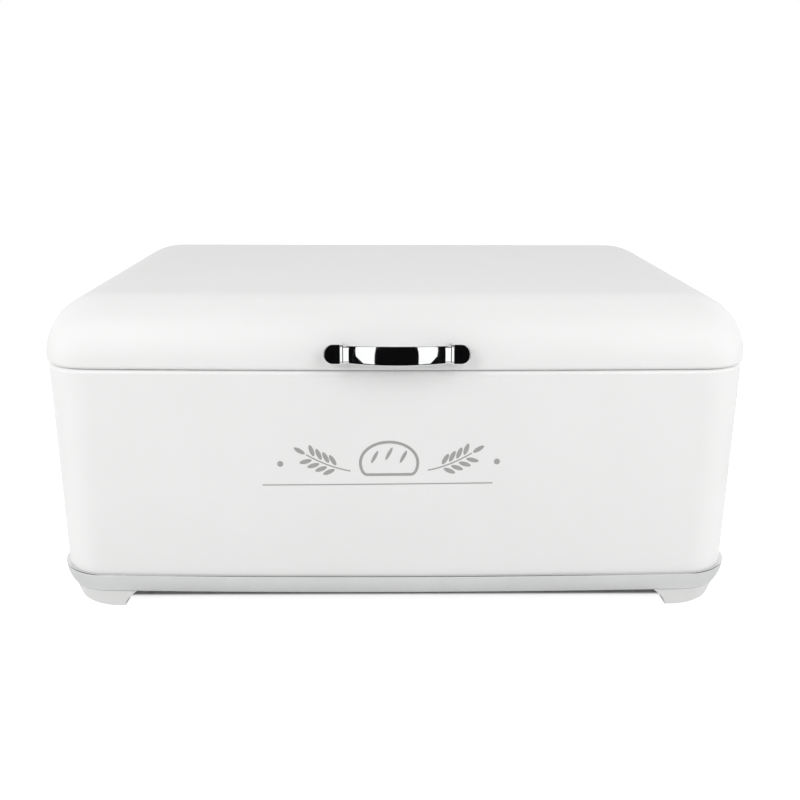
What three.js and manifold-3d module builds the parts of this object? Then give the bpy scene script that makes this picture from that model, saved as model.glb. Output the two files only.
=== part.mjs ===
// Bread box: a steel body and a hinged steel lid on a moulded base with four corner feet.
// Millimetres, +Z up, the front faces -Y, and the lid is closed.
import * as THREE from "three";
import { mergeVertices } from "three/addons/utils/BufferGeometryUtils.js";
import Module from "manifold-3d";

const wasm = await Module();
wasm.setup();

// Whole box
const lidWidth = 420;
const lidDepth = 240;
const boxHeight = 195;
const lidHeight = 39.4;
const planRadius = 31; // the lid's corners seen from above
const frontCrown = 3; // how far the front bows out in its middle
const sheet = 1; // steel sheet
const fit = 0.3; // gap between pieces that seat on each other
const overrun = 2; // how far a cutter runs past what it cuts

// Lid
const sideShoulder = 38; // how far each shoulder reaches in over the top
const frontShoulder = 30;
const backShoulder = 5;
const sillHeight = 1.4; // upright part of the lid below its shoulders
const topCornerRadius = 5;
const lidRoll = 3; // turned-in edge: radius, then flat
const lidReturn = 6;
const lidGap = 1; // between the rim and the lid's edge

// Body
const lidOverhang = 1;
const rimRoll = 2.5;
const rimReturn = 9;
const footRoll = 3;
const footReturn = 14;
const ventRadius = 2;
const ventPitch = 16;
const ventCount = 7;
const ventDrop = 32; // below the rim

// Floor pan
const panDrop = 1.5;
const panSlope = 3;

// Trim band
const bandTop = 24.6;
const bandBottom = 13.8;
const bandProud = 2.2; // beyond the body's wall
const bandSheet = 1;
const bandEdge = 1; // radius of its long edges
const bandReturn = 2.5; // width of the top edge turned in over the base

// Base
const ledgeSheet = 2;
const skirtWall = 2;
const lipDrop = 2; // the lip that shows below the band
const lipBehindBand = 0.6;
const footLength = 49;
const footFlare = 7; // how far its inner sides slope in
const footTuck = 5; // how far its outer sides curve in
const footInnerRadius = 4;
const footSteps = 6;

// Rubber pads under the feet
const padRadius = 9;
const padThickness = 2;
const padProud = 0.6;

// Floor screws
const screwRadius = 1.6;
const screwHeadRadius = 3.4;
const screwHeadHeight = 1.4;
const screwHeadShares = [[1, 0], [0.8, 0.8], [0, 1]]; // radius and height of its domed head
const screwLength = 11;
const screwInset = 10; // from the body's wall

// Rubber buffers in the rim
const bumperInset = 6.5; // from the lid's face
const bumperFromSide = 60;
const bumperHeadRadius = 2.2;
const bumperStemRadius = 1.2;
const bumperBulbRadius = 1.8;
const bumperTail = 3.5;

// Hinges
const hingeWidth = 50;
const hingeFromSide = 90;
const hingeStandoff = 3; // from the lid's back to the pin's middle
const leafSheet = 1.2;
const leafHeight = 22;
const leafCorner = 3;
const pinRadius = 1.2;
const knuckleWall = 1;
const middleKnuckle = 18;
const pinHeadRadius = 2.1;
const pinHeadLength = 1;
const openAngle = 105; // degrees
const heelReach = 6; // the heel that stops the lid

// Rivets
const rivetRadius = 1.5;
const rivetHeadRadius = 3.2;
const rivetHeadHeight = 1.4;
const rivetTailRadius = 2.6;
const rivetTailHeight = 1;
const rivetFromEnd = 9; // from the leaf's end
const rivetHeight = 14; // from the pin's middle

// Handle
const handleLength = 83;
const handleAbove = 10.6; // its middle, above the rim
const handleReach = 17;
const endWidth = 8.9;
const endHeight = 10.6;
const endReach = 9.5;
const endStraight = 5;
const endInnerRadius = 0.8;
const collarWidth = 1.2;
const collarProud = 0.4;
const neckWidth = 3.2;
const neckHeight = 9;
const neckReach = 8;
const strapHeight = 9.6; // at its ends
const strapCrown = 1; // how much taller it is in the middle
const strapSheet = 3;
const strapCorner = 1.2;
const strapSteps = 12;

// Handle screws and washers
const handleScrewRadius = 1.9;
const handleScrewDepth = 6;
const handleScrewHeadRadius = 3.6;
const handleScrewHeadHeight = 2.2;
const handleScrewHeadShares = [[1, 0], [0.9, 0.7], [0.6, 1], [0, 1]]; // its flat-topped pan head
const washerRadius = 5;
const washerThickness = 1;

// Smoothness
const cornerSteps = 6;
const smallCornerSteps = 3;
const crownSteps = 8;
const rollSteps = 3;
const shoulderSteps = 8;
const domeSteps = 4;
const roundSides = 12;

// Worked out from the sizes above
const bodyHalfWidth = lidWidth / 2 - lidOverhang;
const bodyHalfDepth = lidDepth / 2 - lidOverhang;
const bodyRadius = planRadius - lidOverhang;
const lidBottom = boxHeight - lidHeight;
const seamHeight = lidBottom - lidGap; // top of the body's rim
const shoulderStart = lidBottom + sillHeight;
const shoulderHeight = lidHeight - sillHeight;
const hingeX = lidWidth / 2 - hingeFromSide;
const bumperX = lidWidth / 2 - bumperFromSide;
const baseTop = bandTop - bandSheet; // the ledge that carries the body
const skirtOut = bandProud - bandSheet - fit;
const lipOut = bandProud - lipBehindBand;
const lipBottom = bandBottom - lipDrop;
const footTop = baseTop + sheet - panDrop - fit; // clear of the pressed middle of the pan
const footReturnInner = footRoll + footReturn;
const pinY = lidDepth / 2 + hingeStandoff;
const knuckleBore = pinRadius + fit;
const knuckleRadius = knuckleBore + knuckleWall;
const boreMargin = fit / 2; // webs stop this far from the bore
const plateGap = 2 * fit; // between a leaf's plate and the other leaf's knuckles
const rivetX = hingeWidth / 2 - rivetFromEnd;
const washerFace = sheet + 2 * fit; // inside the lid's curved front

const enamel = () => new THREE.MeshStandardMaterial({ color: 0xf1f1f0, roughness: 0.45, metalness: 0 });
const chrome = () => new THREE.MeshStandardMaterial({ color: 0xd9dadb, roughness: 0.08, metalness: 1 });
const plastic = () => new THREE.MeshStandardMaterial({ color: 0xebebea, roughness: 0.5, metalness: 0 });
const steel = () => new THREE.MeshStandardMaterial({ color: 0xb9bcbf, roughness: 0.35, metalness: 1 });
const rubber = () => new THREE.MeshStandardMaterial({ color: 0x3a3a3a, roughness: 0.9, metalness: 0 });

/** Shares from 0 to 1 in equal steps. */
function shares(steps) {
  return Array.from({ length: steps + 1 }, (_, i) => i / steps);
}

/** Angles of a quarter turn in equal steps, in radians. */
function quarterAngles(steps) {
  return shares(steps).map((share) => (share * Math.PI) / 2);
}

/**
 * A rounded rectangle at height z, counter-clockwise from above, its front bowed out by crown.
 * Radii start at the front right corner.
 */
function ring({ left, right, front, back, radii, z, steps = cornerSteps, crown = 0 }) {
  const centres = [
    [right - radii[0], front + radii[0]],
    [right - radii[1], back - radii[1]],
    [left + radii[2], back - radii[2]],
    [left + radii[3], front + radii[3]],
  ];
  const arcs = centres.flatMap(([x, y], corner) =>
    quarterAngles(steps).map((angle) => {
      const turn = angle + ((corner - 1) * Math.PI) / 2;
      const radius = radii[corner];
      return new THREE.Vector3(x + radius * Math.cos(turn), y + radius * Math.sin(turn), z);
    }),
  );
  return crown ? [...arcs, ...bowedFront(centres[3][0], centres[0][0], front, crown, z)] : arcs;
}

/** The points between the ends of a front edge that bows out by crown. */
function bowedFront(left, right, front, crown, z) {
  return shares(crownSteps)
    .slice(1, -1)
    .map((share) => {
      const bow = 4 * share * (1 - share);
      return new THREE.Vector3(left + (right - left) * share, front - crown * bow, z);
    });
}

/** The body's outline grown by outset, at height z. */
function bodyRing(outset, z) {
  const x = bodyHalfWidth + outset;
  const y = bodyHalfDepth + outset;
  const radii = Array(4).fill(bodyRadius + outset);
  return ring({ left: -x, right: x, front: -y, back: y, radii, z, crown: frontCrown });
}

/** The lid's outline with its four insets, at height z. */
function lidRing({ side, front, back, corner }, z) {
  return ring({
    left: side - lidWidth / 2,
    right: lidWidth / 2 - side,
    front: front - lidDepth / 2,
    back: lidDepth / 2 - back,
    radii: Array(4).fill(corner),
    z,
    crown: frontCrown,
  });
}

/** The lid's outline moved in evenly on all sides. */
function lidRingIn(inset, z) {
  return lidRing({ side: inset, front: inset, back: inset, corner: planRadius - inset }, z);
}

/** One ring of the lid's shoulders at angle u, for the face that lies depth inside the outer one. */
function shoulderRing(u, depth) {
  const rise = 1 - Math.cos(u);
  const z = shoulderStart + (shoulderHeight - depth) * Math.sin(u);
  const backRadius = backShoulder - depth;
  const above = Math.max(0, z - (boxHeight - backShoulder));
  const insets = {
    side: depth + (sideShoulder - depth) * rise,
    front: depth + (frontShoulder - depth) * rise,
    back: depth + backRadius - Math.sqrt(Math.max(0, backRadius ** 2 - above ** 2)),
    corner: Math.max(planRadius - depth - (frontShoulder - depth) * rise, topCornerRadius),
  };
  return lidRing(insets, z);
}

/** A closed mesh of points and triangles. */
function meshGeometry(points, faces) {
  const geometry = new THREE.BufferGeometry().setFromPoints(points);
  geometry.setIndex(faces);
  return geometry;
}

/** The same surface with every triangle turned over. */
function flipped(geometry) {
  const index = geometry.index.array;
  for (let i = 0; i < index.length; i += 3) {
    [index[i], index[i + 1]] = [index[i + 1], index[i]];
  }
  return geometry;
}

/** A skin through rings with equally many points. It is capped at both ends, or closes on itself. */
function loft(rings, closed = false) {
  const count = rings[0].length;
  const points = rings.flat();
  const faces = [];
  const spans = closed ? rings.length : rings.length - 1;
  for (let i = 0; i < spans; i++) {
    const a = i * count;
    const b = ((i + 1) % rings.length) * count;
    for (let j = 0; j < count; j++) {
      const k = (j + 1) % count;
      faces.push(a + j, a + k, b + k, a + j, b + k, b + j);
    }
  }
  if (!closed) {
    const last = (rings.length - 1) * count;
    const first = points.length;
    points.push(middle(rings[0]), middle(rings[rings.length - 1]));
    for (let j = 0; j < count; j++) {
      const k = (j + 1) % count;
      faces.push(first, k, j, first + 1, last + j, last + k);
    }
  }
  return meshGeometry(points, faces);
}

function middle(points) {
  return points.reduce((sum, point) => sum.add(point), new THREE.Vector3()).divideScalar(points.length);
}

/** A body turned round the Y axis from a profile of [radius, y] pairs that starts and ends on the axis. */
function turned(profile) {
  return new THREE.LatheGeometry(
    profile.map(([radius, y]) => new THREE.Vector2(radius, y)),
    roundSides,
  );
}

/** The same, round the Z axis. */
function turnedUp(profile) {
  return turned(profile).rotateX(Math.PI / 2);
}

/** A rod along Y between two places. */
function rod(radius, from, to) {
  return turned([
    [0, from],
    [radius, from],
    [radius, to],
    [0, to],
  ]);
}

/** A rod along X, centred. */
function rodAcross(radius, length) {
  return rod(radius, -length / 2, length / 2).rotateZ(Math.PI / 2);
}

/** A rod along Z between two heights. */
function rodUp(radius, from, to) {
  return rod(radius, from, to).rotateX(Math.PI / 2);
}

/** A block between two corners. */
function block([x0, y0, z0], [x1, y1, z1]) {
  const box = new THREE.BoxGeometry(x1 - x0, y1 - y0, z1 - z0);
  return box.translate((x0 + x1) / 2, (y0 + y1) / 2, (z0 + z1) / 2);
}

/** A plate in the XZ plane with rounded corners at one end, from y0 to y1. */
function leafPlate(y0, y1, from, to) {
  const outline = new THREE.Shape();
  const half = hingeWidth / 2;
  const end = Math.sign(to - from);
  outline.moveTo(-half, from);
  outline.lineTo(half, from);
  outline.lineTo(half, to - end * leafCorner);
  outline.quadraticCurveTo(half, to, half - leafCorner, to);
  outline.lineTo(leafCorner - half, to);
  outline.quadraticCurveTo(-half, to, -half, to - end * leafCorner);
  outline.closePath();
  const settings = { depth: y1 - y0, bevelEnabled: false, curveSegments: smallCornerSteps };
  return new THREE.ExtrudeGeometry(outline, settings).rotateX(Math.PI / 2).translate(0, y1, 0);
}

function toSolid(geometry) {
  const bare = geometry.clone();
  bare.deleteAttribute("normal");
  bare.deleteAttribute("uv");
  const merged = mergeVertices(bare);
  return new wasm.Manifold(
    new wasm.Mesh({
      numProp: 3,
      vertProperties: Float32Array.from(merged.attributes.position.array),
      triVerts: Uint32Array.from(merged.index.array),
    }),
  );
}

function fromSolid(solid) {
  const { vertProperties, triVerts } = solid.getMesh();
  const geometry = new THREE.BufferGeometry();
  geometry.setAttribute("position", new THREE.BufferAttribute(vertProperties, 3));
  geometry.setIndex(new THREE.BufferAttribute(triVerts, 1));
  geometry.computeVertexNormals();
  return geometry;
}

function joined(...geometries) {
  return fromSolid(geometries.map(toSolid).reduce((sum, next) => sum.add(next)));
}

function cut(geometry, cutters) {
  return fromSolid(cutters.map(toSolid).reduce((rest, next) => rest.subtract(next), toSolid(geometry)));
}

function piece(name, geometry, material) {
  geometry.computeVertexNormals();
  const mesh = new THREE.Mesh(geometry, material);
  mesh.name = name;
  return mesh;
}

/** One place for each side, left and right. */
const sides = [
  ["left", -1],
  ["right", 1],
];

/** One place for each corner of the box. */
const corners = sides.flatMap(([side, x]) => [
  ["front_" + side, x, -1],
  ["back_" + side, x, 1],
]);

/** The middle of each floor screw: on the corner's diagonal, screwInset inside the wall. */
function screwPlace(x, y) {
  const reach = (bodyRadius - screwInset) * Math.SQRT1_2;
  return [x * (bodyHalfWidth - bodyRadius + reach), y * (bodyHalfDepth - bodyRadius + reach)];
}

/** The middle of each rubber buffer. */
function bumperPlace(x, y) {
  return [x * bumperX, y * (lidDepth / 2 - bumperInset)];
}

/** The places of the rivets of one leaf, from the hinge's middle. end is 1 above the pin and -1 below. */
function rivetPlaces(end) {
  return sides.map(([side, x]) => [side, x * rivetX, end * rivetHeight]);
}

/** Cutters for the rivet holes of both hinges, along Y through the back of the lid or the body. */
function rivetHoles(end) {
  const back = lidDepth / 2;
  return sides.flatMap(([, hinge]) =>
    rivetPlaces(end).map(([, x, z]) =>
      rod(rivetRadius + fit, back - sheet - lidOverhang - overrun, back + overrun).translate(
        hinge * hingeX + x,
        0,
        seamHeight + z,
      ),
    ),
  );
}

// Body wall: a straight wall with its rim and its foot turned in
function bodyWall() {
  const outerRoll = (radius, flip) =>
    quarterAngles(rollSteps).map((a) => [radius * (Math.cos(a) - 1), flip * radius * Math.sin(a)]);
  const foot = baseTop + footRoll;
  const rim = seamHeight - rimRoll;
  const profile = [
    [-footReturnInner, baseTop],
    ...outerRoll(footRoll, -1)
      .reverse()
      .map(([o, z]) => [o, foot + z]),
    ...outerRoll(rimRoll, 1).map(([o, z]) => [o, rim + z]),
    [-rimRoll - rimReturn, seamHeight],
    [-rimRoll - rimReturn, seamHeight - sheet],
    ...outerRoll(rimRoll - sheet, 1)
      .reverse()
      .map(([o, z]) => [o - sheet, rim + z]),
    ...outerRoll(footRoll - sheet, -1).map(([o, z]) => [o - sheet, foot + z]),
    [-footReturnInner, baseTop + sheet],
  ];
  const shell = loft(
    profile.map(([outset, z]) => bodyRing(outset, z)),
    true,
  );
  const screwHoles = corners.map(([, x, y]) =>
    rodUp(screwRadius + fit, baseTop - overrun, baseTop + sheet + overrun).translate(...screwPlace(x, y), 0),
  );
  const bumperHoles = corners.map(([, x, y]) =>
    rodUp(bumperStemRadius + fit, seamHeight - sheet - overrun, seamHeight + overrun).translate(
      ...bumperPlace(x, y),
      0,
    ),
  );
  return cut(shell, [...screwHoles, ...bumperHoles, ...ventHoles(), ...rivetHoles(-1)]);
}

/** A row of small air holes in the back, between the hinges. */
function ventHoles() {
  const half = ((ventCount - 1) * ventPitch) / 2;
  return Array.from({ length: ventCount }, (_, i) =>
    rod(ventRadius, bodyHalfDepth - sheet - overrun, bodyHalfDepth + overrun).translate(
      i * ventPitch - half,
      0,
      seamHeight - ventDrop,
    ),
  );
}

// Floor pan: lies on the body's turned-in foot, with its middle pressed down
function floorPan() {
  const level = baseTop + sheet;
  const edge = -footRoll - fit;
  const bend = -footReturnInner - fit;
  const profile = [
    [bend - panSlope, level - panDrop],
    [bend, level],
    [edge, level],
    [edge, level + sheet],
    [bend - sheet, level + sheet],
    [bend - panSlope - sheet, level - panDrop + sheet],
  ];
  const holes = corners.map(([, x, y]) =>
    rodUp(screwRadius + fit, level - overrun, level + sheet + overrun).translate(...screwPlace(x, y), 0),
  );
  return cut(loft(profile.map(([outset, z]) => bodyRing(outset, z))), holes);
}

// Trim band: a chromed strip round the base, its top edge turned in over the ledge
function trimBand() {
  const round = quarterAngles(rollSteps).map((a) => [bandEdge * (Math.cos(a) - 1), bandEdge * Math.sin(a)]);
  const profile = [
    [bandProud - bandSheet, bandBottom],
    ...round
      .slice(0, -1)
      .reverse()
      .map(([o, z]) => [bandProud + o, bandBottom + bandEdge - z]),
    ...round.map(([o, z]) => [bandProud + o, bandTop - bandEdge + z]),
    [bandProud - bandReturn, bandTop],
    [bandProud - bandReturn, bandTop - bandSheet],
    [bandProud - bandSheet, bandTop - bandSheet],
  ];
  return loft(
    profile.map(([outset, z]) => bodyRing(outset, z)),
    true,
  );
}

/** The height of each step down a foot, as the sine of its angle. */
function footSines() {
  return quarterAngles(footSteps).map((a) => Math.sin(a));
}

function footHeight(sine) {
  return lipBottom - (lipBottom - padProud) * sine;
}

/** The space of the front right foot: square at the top, its inner sides sloping in below the lip. */
function footSpace() {
  const reach = lipOut + overrun;
  const spaceRing = (slope, z) =>
    ring({
      left: bodyHalfWidth + lipOut - footLength + slope,
      right: bodyHalfWidth + reach,
      front: -bodyHalfDepth - reach - frontCrown,
      back: -bodyHalfDepth - lipOut + footLength - slope,
      radii: Array(4).fill(footInnerRadius),
      z,
      steps: smallCornerSteps,
    });
  const slopes = footSines()
    .reverse()
    .map((sine) => spaceRing(footFlare * Math.sin((sine * Math.PI) / 2), footHeight(sine)));
  return loft([...slopes, spaceRing(0, footTop)]);
}

/** The four feet: the box's outline with its sides tucked in below the lip, kept only at the corners. */
function feet() {
  const hidden = skirtOut - skirtWall / 2;
  const tucked = footSines()
    .reverse()
    .map((sine) => bodyRing(lipOut - footTuck * (1 - Math.sqrt(1 - sine ** 2)), footHeight(sine)));
  const upper = [lipBottom + skirtWall / 2, footTop].map((z) => bodyRing(hidden, z));
  const bowl = toSolid(loft([...tucked, ...upper]));
  return corners.map(([, x, y]) => {
    const space = footSpace().scale(x, -y, 1);
    return fromSolid(bowl.intersect(toSolid(x * y < 0 ? space : flipped(space))));
  });
}

/** The middle of the front right foot's underside, for x = 1 and y = -1. */
function padPlace(x, y) {
  const outer = lipOut - footTuck;
  const inner = lipOut - footLength + footFlare;
  const inset = (outer + inner) / 2;
  return [x * (bodyHalfWidth + inset), y * (bodyHalfDepth + inset)];
}

// Base: a ledge with a skirt behind the band, a lip below it, and the four feet
function baseFrame() {
  const profile = [
    [skirtOut - skirtWall, lipBottom],
    [lipOut, lipBottom],
    [lipOut, bandBottom - fit],
    [skirtOut, bandBottom - fit],
    [skirtOut, baseTop],
    [-footReturnInner, baseTop],
    [-footReturnInner, baseTop - ledgeSheet],
    [skirtOut - skirtWall, baseTop - ledgeSheet],
  ];
  const frame = loft(
    profile.map(([outset, z]) => bodyRing(outset, z)),
    true,
  );
  const pockets = corners.map(([, x, y]) =>
    rodUp(padRadius + fit, padProud - overrun, padThickness).translate(...padPlace(x, y), 0),
  );
  const holeFoot = baseTop + sheet - screwLength;
  const holes = corners.map(([, x, y]) =>
    rodUp(screwRadius + fit, holeFoot, baseTop + overrun).translate(...screwPlace(x, y), 0),
  );
  return cut(joined(frame, ...feet()), [...pockets, ...holes]);
}

// Small fastenings
function footPad() {
  return rodUp(padRadius, 0, padThickness);
}

/** The outline of a screw's head from its seat to its top. */
function headOutline(headShares, radius, height, seatAt) {
  return headShares.map(([across, up]) => [across * radius, seatAt + up * height]);
}

/** A domed screw that points down, with its head on z = 0. */
function floorScrew() {
  return turnedUp([
    [0, -screwLength],
    [screwRadius, screwRadius - screwLength],
    [screwRadius, 0],
    ...headOutline(screwHeadShares, screwHeadRadius, screwHeadHeight, 0),
  ]);
}

/** A rubber buffer with its head on z = 0 and a bulb below the rim. */
function bumper() {
  return turnedUp([
    [0, -bumperTail],
    [bumperStemRadius, -bumperTail],
    [bumperBulbRadius, -sheet - fit - bumperBulbRadius + bumperStemRadius],
    [bumperStemRadius, -sheet - fit],
    [bumperStemRadius, 0],
    [bumperHeadRadius, 0],
    [bumperHeadRadius, lidGap - fit],
    [0, lidGap - fit],
  ]);
}

/** A rivet along Y: its head lies behind y = 0 and its tail in front of -grip. */
function rivet(grip) {
  const crown = quarterAngles(rollSteps)
    .slice(0, -1)
    .map((a) => [rivetHeadRadius * Math.cos(a), rivetHeadHeight * Math.sin(a)]);
  return turned([
    [0, -grip - rivetTailHeight],
    [rivetTailRadius, -grip - rivetTailHeight],
    [rivetTailRadius, -grip],
    [rivetRadius, -grip],
    [rivetRadius, 0],
    ...crown,
    [0, rivetHeadHeight],
  ]);
}

// Hinges, each drawn from the middle of its pin
function leafHoles(end) {
  return rivetPlaces(end).map(([, x, z]) =>
    rod(rivetRadius + fit, -hingeStandoff - lidOverhang - overrun, overrun).translate(x, 0, z),
  );
}

function knuckleBores() {
  return [rodAcross(knuckleBore, hingeWidth + overrun)];
}

/** The leaf on the body: a plate below the pin, curled under it into the two outer knuckles. */
function bodyLeaf() {
  const wall = -hingeStandoff - lidOverhang;
  const plate = leafPlate(wall, wall + leafSheet, -knuckleBore - fit, -leafHeight);
  const length = (hingeWidth - middleKnuckle) / 2;
  const knuckles = sides.flatMap(([, x]) => {
    const at = (x * (hingeWidth - length)) / 2;
    return [
      rodAcross(knuckleRadius, length).translate(at, 0, 0),
      block([at - length / 2, wall, -knuckleRadius], [at + length / 2, 0, -knuckleBore - boreMargin]),
    ];
  });
  return cut(joined(plate, ...knuckles), [...knuckleBores(), ...leafHoles(-1)]);
}

/** The leaf on the lid: a plate above the pin, the middle knuckle, and the heel that stops the lid. */
function lidLeaf() {
  const wall = -hingeStandoff;
  const plateFoot = knuckleRadius + plateGap;
  const plate = leafPlate(wall, wall + leafSheet, plateFoot, leafHeight);
  const half = middleKnuckle / 2 - fit;
  const knuckle = rodAcross(knuckleRadius, 2 * half);
  const webFoot = knuckleBore + boreMargin;
  const web = block([-half, wall, webFoot], [half, wall + leafSheet, plateFoot + fit]);
  const curl = block([-half, wall + fit, webFoot], [half, 0, knuckleRadius]);
  const heel = block([-half, -knuckleRadius, -heelReach], [half, -knuckleBore, 0]).rotateX(
    THREE.MathUtils.degToRad(openAngle),
  );
  return cut(joined(plate, web, curl, knuckle, heel), [...knuckleBores(), ...leafHoles(1)]);
}

/** The pin, with a head at each end. */
function hingePin() {
  const neck = hingeWidth / 2 + fit;
  const end = neck + pinHeadLength;
  return turned([
    [0, -end],
    [pinHeadRadius, -end],
    [pinHeadRadius, -neck],
    [pinRadius, -neck],
    [pinRadius, neck],
    [pinHeadRadius, neck],
    [pinHeadRadius, end],
    [0, end],
  ]).rotateZ(Math.PI / 2);
}

function hinge(side, x) {
  const group = new THREE.Group();
  group.position.set(x * hingeX, pinY, seamHeight);
  group.add(
    piece("hinge_body_leaf_" + side, bodyLeaf(), steel()),
    piece("hinge_lid_leaf_" + side, lidLeaf(), steel()),
    piece("hinge_pin_" + side, hingePin(), steel()),
  );
  const rows = [
    ["hinge_body_rivet_", -1, -hingeStandoff - lidOverhang],
    ["hinge_lid_rivet_", 1, -hingeStandoff],
  ];
  rows.forEach(([name, end, wall]) =>
    rivetPlaces(end).forEach(([place, across, z]) => {
      const mesh = piece(name + side + "_" + place, rivet(sheet + leafSheet), steel());
      mesh.position.set(across, wall + leafSheet, z);
      group.add(mesh);
    }),
  );
  return group;
}

// The handle's seat on the lid's front shoulder
const seatAngle = Math.asin((seamHeight + handleAbove - shoulderStart) / shoulderHeight);
const seatInset = frontShoulder * (1 - Math.cos(seatAngle));
const seatTilt = Math.atan2(frontShoulder * Math.sin(seatAngle), shoulderHeight * Math.cos(seatAngle));
const endX = (handleLength - endWidth) / 2;

/** A group whose y = 0 plane touches the lid's front at the handle's middle. -Y faces out of the lid. */
function seat() {
  const group = new THREE.Group();
  group.position.set(0, seatInset - lidDepth / 2 - frontCrown, seamHeight + handleAbove);
  group.rotation.x = -seatTilt;
  group.updateMatrix();
  return group;
}

/** The lid's outer shape as one solid, grown by the given amount. */
function lidOuter(grow) {
  const rings = [lidRingIn(-grow, lidBottom - grow), lidRingIn(-grow, shoulderStart)];
  const shoulders = quarterAngles(shoulderSteps)
    .slice(1)
    .map((u) => shoulderRing(u, -grow));
  return loft([...rings, ...shoulders]);
}

// Lid shell: a pressed steel cover with rounded shoulders and a turned-in edge
function lidShell() {
  const roll = lidBottom + lidRoll;
  const wallFoot = Math.max(shoulderStart, roll + fit);
  const innerShoulders = quarterAngles(shoulderSteps)
    .slice(1)
    .reverse()
    .map((u) => shoulderRing(u, sheet));
  const outerShoulders = quarterAngles(shoulderSteps)
    .slice(1)
    .map((u) => shoulderRing(u, 0));
  const rollRings = (radius, depth) =>
    quarterAngles(rollSteps).map((a) => {
      const inset = depth + radius * (1 - Math.cos(a));
      return lidRingIn(inset, roll - radius * Math.sin(a));
    });
  const shell = loft([
    ...innerShoulders,
    lidRingIn(sheet, wallFoot),
    ...rollRings(lidRoll - sheet, sheet),
    lidRingIn(lidRoll + lidReturn, lidBottom + sheet),
    lidRingIn(lidRoll + lidReturn, lidBottom),
    ...rollRings(lidRoll, 0).reverse(),
    lidRingIn(0, wallFoot),
    ...outerShoulders,
  ]);
  const screwHoles = sides.map(([, x]) =>
    rod(handleScrewRadius + fit, -overrun, sheet + overrun)
      .translate(x * endX, 0, 0)
      .applyMatrix4(seat().matrix),
  );
  return cut(shell, [...screwHoles, ...rivetHoles(1)]);
}

/** A stack of outlines across the handle's end: x from the end inwards, z its height, y its reach. */
function handleEnd(side) {
  const outer = endX + endWidth / 2;
  const outline = (inset, reach) => {
    const half = endHeight / 2 - inset;
    const shape = { left: outer - endWidth + inset, right: outer - inset, front: -half, back: half };
    const inner = Math.min(endInnerRadius, half / 2);
    const round = half - fit;
    return ring({ ...shape, radii: [round, round, inner, inner], z: reach, steps: smallCornerSteps });
  };
  const crown = endReach - endStraight;
  const crownInset = endHeight / 2 - endInnerRadius * 2;
  const dome = quarterAngles(domeSteps).map((a) =>
    outline(crownInset * (1 - Math.cos(a)), endStraight + crown * Math.sin(a)),
  );
  const cap = loft([outline(0, -overrun), ...dome]).rotateX(Math.PI / 2);
  const collarX = outer - endWidth;
  const collarHalf = endHeight / 2 + collarProud;
  const collar = block(
    [collarX - collarWidth, -endReach, -collarHalf],
    [collarX + endInnerRadius, overrun, collarHalf],
  );
  const neckX = collarX - collarWidth;
  const neckFoot = [neckX - neckWidth, -neckReach, -neckHeight / 2];
  const neck = block(neckFoot, [neckX + fit, overrun, neckHeight / 2]);
  const parts = [cap, collar, neck];
  return side > 0 ? parts : parts.map((part) => flipped(indexed(part.scale(-1, 1, 1))));
}

/** The same geometry with an index. */
function indexed(geometry) {
  return geometry.index ? geometry : mergeVertices(geometry);
}

/** The strap: a bowed bar whose section stands square to its arc and grows taller to its middle. */
function handleStrap() {
  const half = endX - endWidth / 2 - collarWidth;
  const sagitta = handleReach - neckReach;
  const radius = (half ** 2 + sagitta ** 2) / (2 * sagitta);
  const sweep = Math.asin(half / radius);
  const rings = shares(strapSteps).map((share) => {
    const turn = sweep * (2 * share - 1);
    const tall = strapHeight + strapCrown * Math.cos((turn / sweep) * (Math.PI / 2));
    const section = ring({
      left: radius - strapSheet,
      right: radius,
      front: -tall / 2,
      back: tall / 2,
      radii: Array(4).fill(strapCorner),
      z: 0,
      steps: smallCornerSteps,
    });
    return section.map((point) => {
      const out = point.x * Math.cos(turn) - (radius - handleReach);
      return new THREE.Vector3(point.x * Math.sin(turn), -out, point.y);
    });
  });
  return flipped(loft(rings));
}

// Handle: one bow casting, cut to sit on the lid's curved front
function handle() {
  const lidCut = lidOuter(fit).applyMatrix4(seat().matrix.clone().invert());
  const bores = sides.map(([, x]) =>
    rod(handleScrewRadius + fit, -handleScrewDepth - fit, overrun).translate(x * endX, 0, 0),
  );
  const casting = joined(handleStrap(), ...sides.flatMap(([, x]) => handleEnd(x)));
  return cut(casting, [lidCut, ...bores]);
}

/** A pan-head screw whose head lies inside the lid, behind the washer. */
function handleScrew() {
  const head = washerFace + washerThickness + fit;
  return turned([
    [0, -handleScrewDepth],
    [handleScrewRadius, -handleScrewDepth],
    [handleScrewRadius, head],
    ...headOutline(handleScrewHeadShares, handleScrewHeadRadius, handleScrewHeadHeight, head),
  ]);
}

function washer() {
  const back = washerFace + washerThickness;
  return cut(rod(washerRadius, washerFace, back), [
    rod(handleScrewRadius + fit, washerFace - overrun, back + overrun),
  ]);
}

function handleSet() {
  const group = seat();
  group.add(piece("handle", handle(), chrome()));
  sides.forEach(([side, x]) => {
    const screw = piece("handle_screw_" + side, handleScrew(), steel());
    const ringWasher = piece("handle_washer_" + side, washer(), steel());
    screw.position.x = x * endX;
    ringWasher.position.x = x * endX;
    group.add(screw, ringWasher);
  });
  return group;
}

/** Each corner's small pieces: pad, screw and buffer. */
function cornerPieces([place, x, y]) {
  const pad = piece("foot_pad_" + place, footPad(), rubber());
  pad.position.set(...padPlace(x, y), 0);
  const screw = piece("floor_screw_" + place, floorScrew(), steel());
  screw.position.set(...screwPlace(x, y), baseTop + 2 * sheet);
  const buffer = piece("lid_bumper_" + place, bumper(), rubber());
  buffer.position.set(...bumperPlace(x, y), seamHeight);
  return [pad, screw, buffer];
}

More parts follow.
